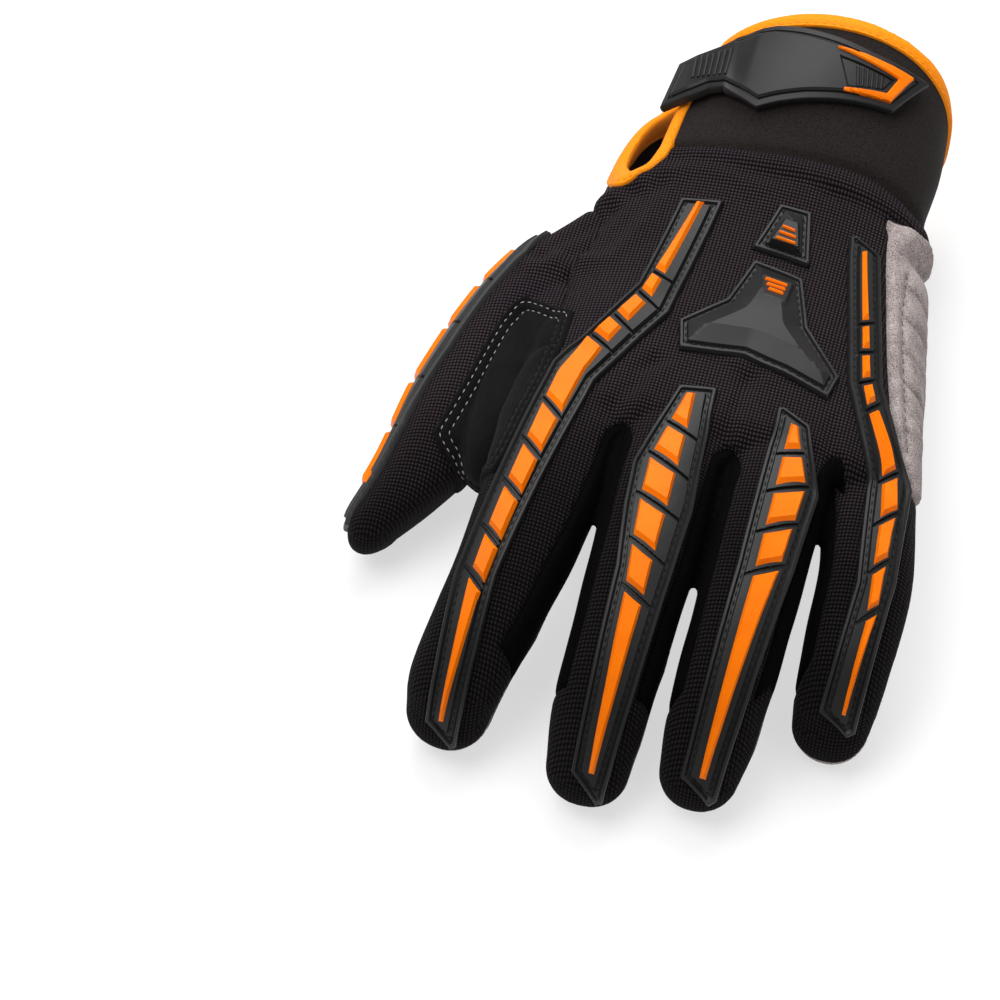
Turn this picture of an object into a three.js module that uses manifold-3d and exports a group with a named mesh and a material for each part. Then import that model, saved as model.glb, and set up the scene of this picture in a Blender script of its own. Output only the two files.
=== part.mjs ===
// A left-hand impact work glove, lying palm down. Millimetres, +Z up, the fingers point to -Y, the
// open cuff to +Y and the thumb to -X. The origin is the middle of the heel pad's flat underside.
// The hand is a hollow body lofted through short tables of sections. Cloth panels are cut from its
// wall along their seams, and what is sewn on lies over it in layers of constant thickness.

import * as THREE from 'three';
import Module from 'manifold-3d';

const wasm = await Module();
wasm.setup();

// Walls inwards from the cloth's outer face, then layers outwards from it.
const FABRIC = 1.6;
const NEOPRENE = 2.2;
const GAP = 0.3;
const SEAM = 0.3;
const QUILT = 1.2;
const WEB_PATCH_TOP = 1.5;
const KNUCKLE_BAND_TOP = 1.7;
const KNUCKLE_CELL_TOP = 3.2;
const CRESCENT_TOP = 2.7;
const TIP_CAP_TOP = 1.9;
const HEEL_PAD_TOP = 7;
const GUARD_TOP = 2.8;
const CELL_WEB = 0.5;
const CELL_TOP = 4.4;
const PLATE_FLANGE_TOP = 2.4;
const PLATE_TOP = 4.6;
const STRIPE_TOP = 5.9;
const STRAP_UNDER = 2;
const STRAP_TOP = 5.2;
const CHEVRON_THICKNESS = 0.9;
const PULL_TAB_TOP = 2.7;
const BINDING = 1.3;
const BINDING_WIDTH = 6;
const SLIT_BINDING_WIDTH = 5;

// The slot between two cells, and how far a plate's raised middle stands in from its edge.
const GROOVE = 2.2;
const PLATE_MARGIN = 2.6;

// Heights that bound the cutting prisms.
const BELOW = -20;
const ABOVE = 95;

const CUFF_SEAM = 41;
const RIM = { centre: new THREE.Vector3(8, 75.5, 38), normal: new THREE.Vector3(0, 0.986, -0.165) };

const ACROSS = new THREE.Vector3(1, 0, 0);
const ALONG = new THREE.Vector3(0, 1, 0);

// Lofts. Each row is a centre point with the section's full width and depth there, and power is
// the roundness of its superellipse.
const ARM = {
  across: ACROSS, sides: 18, stations: 9, dome: 9,
  rows: [
    { x: 8.2, y: 84, z: 38.5, width: 70.5, depth: 67, power: 2.2 },
    { x: 5, y: 64, z: 35.5, width: 78, depth: 62, power: 2.2 },
    { x: 1.2, y: 52, z: 32.5, width: 86.5, depth: 56, power: 2.2 },
    { x: -1.5, y: 41, z: 30, width: 93, depth: 52, power: 2.3 },
    { x: -2.5, y: 20, z: 28.3, width: 98, depth: 50.5, power: 2.5 },
    { x: -2, y: -2, z: 29, width: 105, depth: 52, power: 2.5 },
    { x: -1.7, y: -22, z: 31, width: 110, depth: 54.5, power: 2.5 },
    { x: -1, y: -40, z: 37, width: 111, depth: 47, power: 2.5 },
    { x: -1, y: -56, z: 43, width: 103, depth: 36, power: 2.5 },
  ],
};

const FINGERS = {
  index: {
    across: ACROSS, sides: 10, stations: 5, dome: 10.5,
    rows: [
      { x: -37.5, y: -45, z: 44, width: 33, depth: 27, power: 2.3 },
      { x: -39.5, y: -68, z: 45.5, width: 33, depth: 26, power: 2.3 },
      { x: -41.8, y: -92, z: 42.5, width: 31, depth: 24.5, power: 2.3 },
      { x: -46.7, y: -114.4, z: 32.5, width: 28, depth: 22.5, power: 2.3 },
      { x: -51.3, y: -128.9, z: 20.8, width: 25.4, depth: 19.5, power: 2.3 },
      { x: -52.2, y: -134.6, z: 13.6, width: 23, depth: 17, power: 2.3 },
    ],
  },
  middle: {
    across: ACROSS, sides: 10, stations: 5, dome: 11,
    rows: [
      { x: -7.5, y: -45, z: 46, width: 31, depth: 27, power: 2.3 },
      { x: -8.3, y: -70, z: 47, width: 30, depth: 25.5, power: 2.3 },
      { x: -8.8, y: -95, z: 43.5, width: 28.6, depth: 24, power: 2.3 },
      { x: -10.2, y: -116.4, z: 34, width: 26.6, depth: 22, power: 2.3 },
      { x: -11.3, y: -133.5, z: 20.4, width: 25, depth: 19.5, power: 2.3 },
      { x: -11.4, y: -141.2, z: 13, width: 23, depth: 17, power: 2.3 },
    ],
  },
  ring: {
    across: ACROSS, sides: 10, stations: 5, dome: 10.5,
    rows: [
      { x: 21.5, y: -45, z: 44.5, width: 29, depth: 26, power: 2.3 },
      { x: 21.2, y: -70, z: 45.5, width: 28.7, depth: 25, power: 2.3 },
      { x: 20.9, y: -95, z: 42, width: 27, depth: 23.5, power: 2.3 },
      { x: 20, y: -113.4, z: 33, width: 26.4, depth: 21.5, power: 2.3 },
      { x: 18.6, y: -128.2, z: 20.6, width: 24.6, depth: 19, power: 2.3 },
      { x: 17.8, y: -135.6, z: 13, width: 22, depth: 16.8, power: 2.3 },
    ],
  },
  little: {
    across: ACROSS, sides: 10, stations: 5, dome: 11,
    rows: [
      { x: 43.5, y: -38, z: 38, width: 24, depth: 24, power: 2.3 },
      { x: 46.6, y: -60, z: 38.5, width: 25.5, depth: 23, power: 2.3 },
      { x: 49.8, y: -82, z: 35, width: 25.6, depth: 21.5, power: 2.3 },
      { x: 49.6, y: -99.4, z: 26.5, width: 24.4, depth: 19, power: 2.3 },
      { x: 49, y: -107.6, z: 18, width: 23.2, depth: 17.5, power: 2.3 },
      { x: 48.8, y: -112, z: 12.4, width: 21.4, depth: 15.8, power: 2.3 },
    ],
  },
};

const THUMB = {
  across: new THREE.Vector3(0.2, 0, 0.98), sides: 10, stations: 5, dome: 13,
  rows: [
    { x: -43, y: 20, z: 26, width: 32, depth: 20, power: 2.3 },
    { x: -58.5, y: -6, z: 26, width: 36, depth: 28, power: 2.3 },
    { x: -66.8, y: -25, z: 24.5, width: 33, depth: 27, power: 2.3 },
    { x: -72.7, y: -42.5, z: 22, width: 31, depth: 25.5, power: 2.3 },
    { x: -78.5, y: -62, z: 18.5, width: 29, depth: 22, power: 2.3 },
    { x: -86, y: -78, z: 14, width: 25, depth: 15, power: 2.3 },
  ],
};

const WEB = {
  across: ALONG, sides: 10, stations: 4, dome: 0,
  rows: [
    { x: -77, y: -38, z: 21, width: 30, depth: 14, power: 2.3 },
    { x: -64, y: -29, z: 26, width: 64, depth: 24, power: 2.3 },
    { x: -48, y: -30, z: 33, width: 72, depth: 28, power: 2.3 },
    { x: -36, y: -32, z: 38, width: 58, depth: 22, power: 2.3 },
  ],
};

// Guards on the fingers' backs. A row of frame or cells is a pair of facing edge points, and a
// groove crosses the strip of cells from its height on the left edge to that on the right edge.
const GUARDS = {
  index: {
    frame: [
      { leftX: -25, leftY: 21.5, rightX: -13, rightY: 24 },
      { leftX: -30, leftY: -15.5, rightX: -18.5, rightY: -22.5 },
      { leftX: -44, leftY: -50, rightX: -33, rightY: -50 },
      { leftX: -51, leftY: -81, rightX: -39.5, rightY: -84 },
      { leftX: -55.8, leftY: -110, rightX: -44.6, rightY: -110 },
      { leftX: -56.3, leftY: -146, rightX: -47.5, rightY: -149 },
    ],
    cells: [
      { leftX: -20.2, leftY: 20, rightX: -18, rightY: 20.2 },
      { leftX: -27.8, leftY: -17, rightX: -24, rightY: -19 },
      { leftX: -38, leftY: -35.5, rightX: -33, rightY: -39 },
      { leftX: -43, leftY: -49, rightX: -36.2, rightY: -48 },
      { leftX: -45.8, leftY: -72.5, rightX: -41, rightY: -76.5 },
      { leftX: -51.2, leftY: -112, rightX: -47.7, rightY: -115 },
      { leftX: -52.6, leftY: -144, rightX: -51.2, rightY: -144 },
    ],
    grooves: [
      { left: -8.4, right: -10.5 }, { left: -17.2, right: -20.2 }, { left: -26.3, right: -30 },
      { left: -34.4, right: -38.1 }, { left: -59.7, right: -64.7 }, { left: -73.3, right: -77.9 },
      { left: -86.2, right: -90.2 }, { left: -99.2, right: -102.8 }, { left: -110.2, right: -113.4 },
    ],
  },
  middle: {
    frame: [
      { leftX: -10.4, leftY: -46.5, rightX: 0, rightY: -43 },
      { leftX: -16.6, leftY: -72.5, rightX: 0.8, rightY: -72 },
      { leftX: -16, leftY: -85, rightX: 1.4, rightY: -83 },
      { leftX: -14.2, leftY: -102, rightX: 0.3, rightY: -100 },
      { leftX: -14.8, leftY: -151, rightX: -5.5, rightY: -154 },
    ],
    cells: [
      { leftX: -7.8, leftY: -49.5, rightX: -5.1, rightY: -49 },
      { leftX: -12.3, leftY: -71.5, rightX: -4.9, rightY: -73 },
      { leftX: -12, leftY: -84, rightX: -4.9, rightY: -87 },
      { leftX: -10.4, leftY: -108, rightX: -5.5, rightY: -111 },
      { leftX: -10.3, leftY: -149, rightX: -8.7, rightY: -149 },
    ],
    grooves: [
      { left: -59.9, right: -62.1 }, { left: -70.4, right: -74 }, { left: -82.8, right: -86 },
      { left: -95.3, right: -98.3 }, { left: -106.9, right: -109.3 },
    ],
  },
  ring: {
    frame: [
      { leftX: 16.8, leftY: -47, rightX: 18.6, rightY: -45.4 },
      { leftX: 17.1, leftY: -55, rightX: 26.6, rightY: -50 },
      { leftX: 17, leftY: -71, rightX: 32.5, rightY: -69 },
      { leftX: 16.8, leftY: -94, rightX: 31, rightY: -92 },
      { leftX: 13.8, leftY: -147, rightX: 23.8, rightY: -144 },
    ],
    cells: [
      { leftX: 21.3, leftY: -51.1, rightX: 23.7, rightY: -51.7 },
      { leftX: 21.6, leftY: -70, rightX: 28.8, rightY: -69 },
      { leftX: 21.5, leftY: -97, rightX: 27.2, rightY: -94.5 },
      { leftX: 18.6, leftY: -142, rightX: 20.4, rightY: -142 },
    ],
    grooves: [
      { left: -61, right: -59.4 }, { left: -72.5, right: -68.9 }, { left: -84.5, right: -80.6 },
      { left: -95.9, right: -92.6 },
    ],
  },
  little: {
    frame: [
      { leftX: 23.4, leftY: 21, rightX: 25.2, rightY: 22.4 },
      { leftX: 24.5, leftY: 13, rightX: 32.8, rightY: 18 },
      { leftX: 33.2, leftY: -31.5, rightX: 42.1, rightY: -27.5 },
      { leftX: 44.6, leftY: -58, rightX: 56, rightY: -56 },
      { leftX: 47.8, leftY: -86, rightX: 57.8, rightY: -84 },
      { leftX: 45.5, leftY: -119.5, rightX: 55.5, rightY: -117 },
    ],
    cells: [
      { leftX: 27.8, leftY: 16, rightX: 29.7, rightY: 17 },
      { leftX: 37.2, leftY: -30, rightX: 40.2, rightY: -28.5 },
      { leftX: 48.1, leftY: -57, rightX: 52.6, rightY: -54 },
      { leftX: 50, leftY: -68.2, rightX: 54.4, rightY: -64 },
      { leftX: 52.3, leftY: -95, rightX: 55.5, rightY: -92.5 },
      { leftX: 51.1, leftY: -115, rightX: 52.4, rightY: -115 },
    ],
    grooves: [
      { left: -10.3, right: -8.9 }, { left: -20.2, right: -19 }, { left: -30.8, right: -29 },
      { left: -39.2, right: -36.5 }, { left: -57.4, right: -53.8 }, { left: -69.6, right: -65.7 },
      { left: -82.6, right: -79.4 }, { left: -93.7, right: -91.3 },
    ],
  },
};

// The thumb's guard is drawn on the thumb's own back: distance runs down it from base to tip, and
// the edges and cells are measured round it, upwards being negative.
const THUMB_GUARD = {
  origin: new THREE.Vector3(-58.9, 8, 30),
  back: new THREE.Vector3(-0.915, 0.258, 0.311),
  tip: new THREE.Vector3(-91, -88.5, 15.5),
  frame: [
    { distance: -3, upper: -8, lower: 5 }, { distance: 8, upper: -11.5, lower: 8.5 },
    { distance: 45, upper: -11, lower: 8.5 }, { distance: 71, upper: -7.2, lower: 7 },
    { distance: 101, upper: -1, lower: 5 },
  ],
  cells: [
    { start: 5.5, end: 18.8, middle: 0, half: 3.2 }, { start: 20.6, end: 34.8, middle: 0, half: 3.2 },
    { start: 36.6, end: 53.6, middle: 0, half: 3.2 }, { start: 55.4, end: 69, middle: 0.3, half: 3 },
    { start: 70.8, end: 93, middle: 1, half: 2.4 },
  ],
};

// Plates on the back of the hand, each with three stripes at its top. A stripe runs from its left
// end to its right end.
const STRIPE_WIDTH = 1;
const PLATES = {
  wrist: {
    outline: [[2.5, 25.3], [11.8, 24.8], [15, 5.7], [-1.8, 8]],
    stripes: [
      { leftX: 5, leftY: 17, rightX: 8.8, rightY: 16.3 },
      { leftX: 4.4, leftY: 14.8, rightX: 9.5, rightY: 13.9 },
      { leftX: 3.8, leftY: 12.6, rightX: 10.1, rightY: 11.5 },
    ],
  },
  knuckle: {
    outline: [
      [-0.3, 3.4], [14.3, 0.4], [19.2, -16.9], [30.8, -31.2], [29.2, -39.4], [16, -35.2],
      [4.5, -32.6], [-13.3, -34.1], [-15.5, -24.1], [-4.6, -13.5],
    ],
    stripes: [
      { leftX: 3.8, leftY: -2.2, rightX: 10.7, rightY: -3.4 },
      { leftX: 4.6, leftY: -4.4, rightX: 10.2, rightY: -5.4 },
      { leftX: 5.4, leftY: -6.6, rightX: 9.6, rightY: -7.4 },
    ],
  },
};

const STRAP_OUTLINE = [
  [-24, 76], [-24, 55.5], [-22.4, 55.1], [-16.8, 52.1], [-11.3, 49.3], [-6.5, 50.8], [1.8, 52.3],
  [21.5, 55], [28.4, 57], [36.9, 68.4], [37.5, 72], [26.3, 72.5], [11.4, 73.4], [-3.6, 75.6],
];
// The strap's stiff pull end stands off the cuff, over the slit.
const STRAP_END = [
  { x: -21, front: 55.2, back: 75.9, z: 62.6 },
  { x: -31, front: 54, back: 73.5, z: 56.5 },
  { x: -38.5, front: 51.5, back: 68.5, z: 49.5 },
];
const STRAP_END_THICKNESS = 3;
const CHEVRON = { line: [[10, 70.4], [30.6, 68], [26.2, 60], [13.6, 59.2]], width: 2 };
const PULL_TAB = [[-14, 61], [-19, 55], [-8, 47.5], [10, 44.5], [28, 47], [33, 55], [26, 61], [8, 62.5]];

// The slit that opens the cuff on the thumb side, cut along its own direction. Middle and half are
// measured up the cuff's side from its centre.
const SLIT = {
  centre: new THREE.Vector3(-44, 0, 41),
  direction: new THREE.Vector3(-0.77, 0, 0.64),
  rows: [
    { y: 26, middle: 1, half: 2.5 }, { y: 30, middle: 1.5, half: 6 }, { y: 41, middle: 3, half: 8.5 },
    { y: 55, middle: 10, half: 6 }, { y: 110, middle: 24, half: 4 },
  ],
};

// Seams. The lower half of the hand lies under these sheets, and that of each finger under its
// centre line. The splits are where one finger's sheet gives way to the next.
const FINGER_SPLITS = { index: [-75, -30], middle: [-30, 4.9], ring: [4.9, 35.4], little: [35.4, 80] };
const PALM_SHEET = [
  { y: 60, left: 26, right: 26 }, { y: 0, left: 24, right: 24 }, { y: -40, left: 34, right: 30 },
  { y: -66, left: 42, right: 36 },
];
const THUMB_SHEET = [
  { y: 60, left: 16, right: 26 }, { y: 0, left: 16, right: 26 }, { y: -25, left: 17, right: 29 },
  { y: -60, left: 12, right: 26 }, { y: -110, left: 3, right: 14 },
];
const SIDE_PANEL = [
  [33, 33], [36.2, 14.3], [42.8, -17.8], [46.6, -33], [52.2, -47.5], [57.4, -55], [75, -55], [75, 33],
];
const WEB_PATCH = [
  [-60.7, -15], [-63.9, -18.3], [-66.9, -25.9], [-71.5, -44.6], [-76.1, -60.5], [-72.8, -64.5],
  [-62, -68], [-56, -66], [-51, -58], [-46.5, -41], [-44.5, -25],
];
const WEB_PATCH_FLOOR = 23;

// Fourchettes start at the top of each gap between two fingers and run down both its sides, out
// to this share of each finger's half width.
const FOURCHETTE_EDGE = 0.78;
const FOURCHETTES = [
  { left: 'index', right: 'middle', topX: -23.2, topY: -58.5, leftEnd: -125, rightEnd: -130 },
  { left: 'middle', right: 'ring', topX: 7, topY: -59.5, leftEnd: -130, rightEnd: -124 },
  { left: 'ring', right: 'little', topX: 35.6, topY: -55, leftEnd: -124, rightEnd: -104 },
];

// Leather caps on the fingertips: where each starts, and where its upper edge runs as a share of
// the finger's depth from the centre line.
const CAP_EDGE = 0.1;
const CAP_STARTS = { index: -107, middle: -110, ring: -107, little: -93 };
const THUMB_CAP_START = -58;

const HEEL_PAD = { halfX: 24, halfY: 26, points: 28 };
const CRESCENT = [[26, 24], [36, 15], [42, -6], [47, -26], [38, -28], [31, -22], [31, -6], [27, 10]];
const KNUCKLE_BAND = [
  [50, -36], [53, -47], [40, -57], [8, -61], [-24, -61], [-44, -57], [-48, -44], [-44, -33], [0, -31],
];
const KNUCKLE_CELLS = [
  [[-43, -35], [-25, -34], [-25, -57], [-42, -54]], [[-22, -34], [-2, -33.5], [-2, -58], [-22, -58]],
  [[1, -33.5], [22, -34], [22, -57], [1, -58]], [[25, -34], [47, -37.5], [49, -46], [38, -55], [25, -56.5]],
];

const vector = ([u, v]) => new THREE.Vector2(u, v);

function section(centre, across, up, width, depth, power, sides) {
  const points = [];
  for (let k = 0; k < sides; k += 1) {
    const angle = (2 * Math.PI * k) / sides;
    const c = Math.cos(angle);
    const s = Math.sin(angle);
    const alongWidth = (width / 2) * Math.sign(c) * Math.abs(c) ** (2 / power);
    const alongDepth = (depth / 2) * Math.sign(s) * Math.abs(s) ** (2 / power);
    points.push(centre.clone().addScaledVector(across, alongWidth).addScaledVector(up, alongDepth));
  }
  return points;
}

// Rings of equal point counts, each turning anticlockwise round the way on to the next, joined
// into one closed solid with flat ends.
function stitchRings(rings) {
  const sides = rings[0].length;
  const positions = rings.flat().flatMap((point) => [point.x, point.y, point.z]);
  const faces = [];
  for (let i = 0; i < rings.length - 1; i += 1) {
    for (let k = 0; k < sides; k += 1) {
      const a = i * sides + k;
      const b = i * sides + ((k + 1) % sides);
      faces.push(a, b, b + sides, a, b + sides, a + sides);
    }
  }
  const last = (rings.length - 1) * sides;
  for (const [a, b, c] of THREE.ShapeUtils.triangulateShape(drawnFlat(rings[0]), [])) {
    faces.push(a, c, b, last + a, last + b, last + c);
  }
  return new wasm.Manifold(new wasm.Mesh({
    numProp: 3,
    vertProperties: new Float32Array(positions),
    triVerts: new Uint32Array(faces),
  }));
}

// A ring's points in its own plane, where it turns anticlockwise.
function drawnFlat(ring) {
  const normal = new THREE.Vector3();
  for (let k = 0; k < ring.length; k += 1) {
    normal.add(new THREE.Vector3().crossVectors(ring[k], ring[(k + 1) % ring.length]));
  }
  normal.normalize();
  const side = Math.abs(normal.x) < 0.9 ? ACROSS.clone() : ALONG.clone();
  side.addScaledVector(normal, -side.dot(normal)).normalize();
  const up = new THREE.Vector3().crossVectors(normal, side);
  return ring.map((point) => new THREE.Vector2(point.dot(side), point.dot(up)));
}

// A closed solid through a form's rows, grown by offset on every side. A dome closes its far end,
// and flat ends are moved outwards by extend.
function loft(form, offset = 0, extend = 0) {
  const path = new THREE.CatmullRomCurve3(form.rows.map((row) => new THREE.Vector3(row.x, row.y, row.z)));
  const sizes = new THREE.CatmullRomCurve3(
    form.rows.map((row) => new THREE.Vector3(row.width, row.depth, row.power)),
  );
  const rings = [];
  const addRing = (t, advance, scale) => {
    const tangent = path.getTangent(t);
    const across = form.across.clone().addScaledVector(tangent, -form.across.dot(tangent)).normalize();
    const up = new THREE.Vector3().crossVectors(tangent, across);
    const size = sizes.getPoint(t);
    const centre = path.getPoint(t).addScaledVector(tangent, advance);
    const width = (size.x + 2 * offset) * scale;
    const depth = (size.y + 2 * offset) * scale;
    rings.push(section(centre, across, up, width, depth, size.z, form.sides));
  };
  if (extend > 0) addRing(0, -extend, 1);
  for (let i = 0; i < form.stations; i += 1) addRing(i / (form.stations - 1), 0, 1);
  if (form.dome > 0) {
    for (const degrees of [35, 68]) {
      const angle = THREE.MathUtils.degToRad(degrees);
      addRing(1, (form.dome + offset) * Math.sin(angle), Math.cos(angle));
    }
  } else if (extend > 0) {
    addRing(1, extend, 1);
  }
  return stitchRings(rings);
}

// A straight prism over an outline drawn with u across and v along, seen from the end of u x v.
function prism(outline, frame = {}) {
  const { low = BELOW, high = ABOVE, origin = new THREE.Vector3(), u = ACROSS, v = ALONG } = frame;
  const normal = new THREE.Vector3().crossVectors(u, v);
  const ordered = THREE.ShapeUtils.area(outline.map(vector)) > 0 ? outline : [...outline].reverse();
  const ring = (height) => ordered.map(([a, b]) => (
    origin.clone().addScaledVector(u, a).addScaledVector(v, b).addScaledVector(normal, height)
  ));
  return stitchRings([ring(low), ring(high)]);
}

// An outline with each edge moved inwards by distance, or outwards when that is negative.
function inset(outline, distance) {
  const turn = Math.sign(THREE.ShapeUtils.area(outline.map(vector)));
  return outline.map((corner, k) => {
    const point = vector(corner);
    const before = point.clone().sub(vector(outline.at(k - 1))).normalize();
    const after = vector(outline[(k + 1) % outline.length]).sub(point).normalize();
    const inward = new THREE.Vector2(-before.y - after.y, before.x + after.x).normalize();
    const share = Math.max(0.4, inward.dot(new THREE.Vector2(-after.y, after.x)));
    return point.addScaledVector(inward, (turn * distance) / share).toArray();
  });
}

// The outline of a strip given as rows of facing edge points.
function strip(rows) {
  return [
    ...rows.map((row) => [row.leftX, row.leftY]),
    ...[...rows].reverse().map((row) => [row.rightX, row.rightY]),
  ];
}

// The solid under a sheet that spans left to right and follows the rows down the hand.
function underSheet(rows, left, right, lift) {
  return stitchRings(rows.map((row) => [
    new THREE.Vector3(right, row.y, BELOW), new THREE.Vector3(right, row.y, row.right + lift),
    new THREE.Vector3(left, row.y, row.left + lift), new THREE.Vector3(left, row.y, BELOW),
  ]));
}

// A finger's sheet, share times its depth above the centre line and running on past the tip.
function fingerSheet(finger, share) {
  const rows = finger.rows.filter((row, k) => k % 2 === 0 || k === finger.rows.length - 1)
    .map((row) => ({ y: row.y, left: row.z + share * row.depth }));
  const last = rows.at(-1);
  rows.push({ y: last.y - 30, left: last.left - 20 });
  return rows.map((row) => ({ ...row, right: row.left }));
}

// The palm with its fingers, and the thumb with the web that joins it to them.
function palmBody(offset, extend = 0) {
  return union([ARM, ...Object.values(FINGERS)].map((form) => loft(form, offset, extend)));
}

function hand(offset, extend = 0) {
  return union([palmBody(offset, extend), loft(THUMB, offset, extend), loft(WEB, offset, extend)]);
}

function block(lowX, highX, lowY, highY, low = BELOW, high = ABOVE) {
  return prism([[lowX, lowY], [highX, lowY], [highX, highY], [lowX, highY]], { low, high });
}

// Everything beyond the rim's plane, moved out by distance.
function beyondRim(distance) {
  const v = new THREE.Vector3().crossVectors(RIM.normal, ACROSS);
  const square = [[-90, -90], [90, -90], [90, 90], [-90, 90]];
  return prism(square, { low: distance, high: distance + 60, origin: RIM.centre, u: ACROSS, v });
}

function slit(grow) {
  const u = new THREE.Vector3().crossVectors(ALONG, SLIT.direction);
  const outline = strip(SLIT.rows.map((row) => ({
    leftX: row.middle - row.half, leftY: row.y, rightX: row.middle + row.half, rightY: row.y,
  })));
  return prism(inset(outline, -grow), { low: -22, high: 30, origin: SLIT.centre, u, v: ALONG });
}

// The point of a strip's left or right edge at a height.
function edgePoint(rows, side, y) {
  const points = rows.map((row) => [row[`${side}X`], row[`${side}Y`]]);
  const next = Math.max(1, points.findIndex((point) => point[1] <= y));
  const [x0, y0] = points[next - 1];
  const [x1, y1] = points[next];
  return new THREE.Vector2(x0 + ((x1 - x0) * (y - y0)) / (y1 - y0), y);
}

// The quad of a given width round a line, run on past both its ends.
function bar(from, to, width, runOn) {
  const direction = to.clone().sub(from).normalize();
  const side = new THREE.Vector2(-direction.y, direction.x).multiplyScalar(width / 2);
  const start = from.clone().addScaledVector(direction, -runOn);
  const end = to.clone().addScaledVector(direction, runOn);
  return [start.clone().add(side), start.clone().sub(side), end.clone().sub(side), end.clone().add(side)]
    .map((point) => point.toArray());
}

function union(solids) {
  return solids.reduce((sum, solid) => sum.add(solid));
}

function mesh(name, solid, material) {
  const { vertProperties, triVerts } = solid.getMesh();
  const geometry = new THREE.BufferGeometry();
  geometry.setAttribute('position', new THREE.BufferAttribute(vertProperties, 3));
  geometry.setIndex(new THREE.BufferAttribute(triVerts, 1));
  geometry.computeVertexNormals();
  const result = new THREE.Mesh(geometry, material);
  result.name = name;
  return result;
}

const dull = (color, roughness) => new THREE.MeshStandardMaterial({ color, roughness, metalness: 0 });
const knit = dull(0x1c1a1f, 0.9);
const neoprene = dull(0x2a2624, 0.85);
const greySuede = dull(0x857a78, 0.95);
const blackSuede = dull(0x242322, 0.95);
const grainedLeather = dull(0x2e302f, 0.7);
const blackRubber = dull(0x2e2e2d, 0.6);
const orangeRubber = dull(0xff8c1a, 0.45);
const orangeBinding = dull(0xffa00a, 0.7);

const glove = new THREE.Group();

// The hand's wall, open at the wrist and cut back for the slit.
const surface = hand(GAP, 5);
const inside = hand(-FABRIC, 5);
const pastWrist = block(-100, 100, CUFF_SEAM - SEAM / 2, 110);
const wall = hand(0, 3).subtract(inside).subtract(pastWrist).subtract(slit(0));
const layer = (low, high) => hand(high, 3).subtract(hand(low, 5));
const onHand = (top) => hand(top, 3).subtract(surface);

const lowerHalf = (lift) => union([
  underSheet(PALM_SHEET, -75, 80, lift),
  ...Object.entries(FINGERS).map(([name, finger]) => (
    underSheet(fingerSheet(finger, 0), ...FINGER_SPLITS[name], lift)
  )),
]);
const belowSeam = lowerHalf(-SEAM / 2);
const upToSeam = lowerHalf(SEAM / 2);

const fourchetteRegion = (row, margin) => {
  const side = (name, sign, end) => {
    const edge = FINGERS[name].rows.map((at) => (
      new THREE.Vector2(at.x + sign * FOURCHETTE_EDGE * (at.width / 2), at.y)
    ));
    const next = edge.findIndex((point) => point.y <= end);
    const share = (edge[next - 1].y - end) / (edge[next - 1].y - edge[next].y);
    const cut = edge[next - 1].clone().lerp(edge[next], share);
    return [...edge.slice(1, next), cut].map((point) => point.toArray());
  };
  return prism(inset([
    [row.topX - 3, row.topY], ...side(row.left, 1, row.leftEnd),
    ...side(row.right, -1, row.rightEnd).reverse(), [row.topX + 3, row.topY],
  ], margin));
};

const palmWall = FOURCHETTES.reduce(
  (solid, row) => solid.subtract(fourchetteRegion(row, -SEAM / 2)),
  wall.intersect(palmBody(0.05, 3)),
);
const backWall = palmWall.subtract(upToSeam);
glove.add(mesh('back_panel', backWall.subtract(prism(inset(SIDE_PANEL, -SEAM / 2))), knit));
glove.add(mesh('palm_panel', palmWall.intersect(belowSeam), greySuede));
const sideRegion = prism(inset(SIDE_PANEL, SEAM / 2));
const quilted = hand(QUILT, 3).subtract(inside).intersect(sideRegion).subtract(upToSeam);
glove.add(mesh('side_panel', quilted, greySuede));
for (const row of FOURCHETTES) {
  const piece = wall.intersect(fourchetteRegion(row, SEAM / 2));
  glove.add(mesh(`fourchette_${row.left}_${row.right}`, piece, neoprene));
}

const thumbWall = wall.subtract(palmBody(0.05 + SEAM, 5));
const underThumbSeam = (lift) => underSheet(THUMB_SHEET, -110, -30, lift);
glove.add(mesh('thumb_back', thumbWall.subtract(underThumbSeam(SEAM / 2)), knit));
glove.add(mesh('thumb_palm', thumbWall.intersect(underThumbSeam(-SEAM / 2)), greySuede));
const patch = onHand(WEB_PATCH_TOP).intersect(prism(WEB_PATCH, { low: WEB_PATCH_FLOOR }));
glove.add(mesh('web_patch', patch, blackSuede));

// The cuff, its slit, and the binding folded over the rim and the slit's edges.
const beforeCuff = block(-100, 100, -200, CUFF_SEAM + SEAM / 2);
const tube = layer(-NEOPRENE, 0).subtract(beforeCuff).subtract(beyondRim(0)).subtract(slit(0));
glove.add(mesh('cuff', tube, neoprene));

const pastPalm = block(-100, 100, 15, 110);
const bound = layer(-NEOPRENE - GAP - BINDING, GAP + BINDING).intersect(pastPalm);
const boundEdges = layer(-NEOPRENE - GAP, GAP).subtract(slit(-GAP)).subtract(beyondRim(GAP));
const binding = bound.intersect(slit(SLIT_BINDING_WIDTH).add(beyondRim(-BINDING_WIDTH)))
  .subtract(slit(-GAP - BINDING)).subtract(beyondRim(GAP + BINDING)).subtract(boundEdges);
glove.add(mesh('cuff_binding', binding, orangeBinding));

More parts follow.
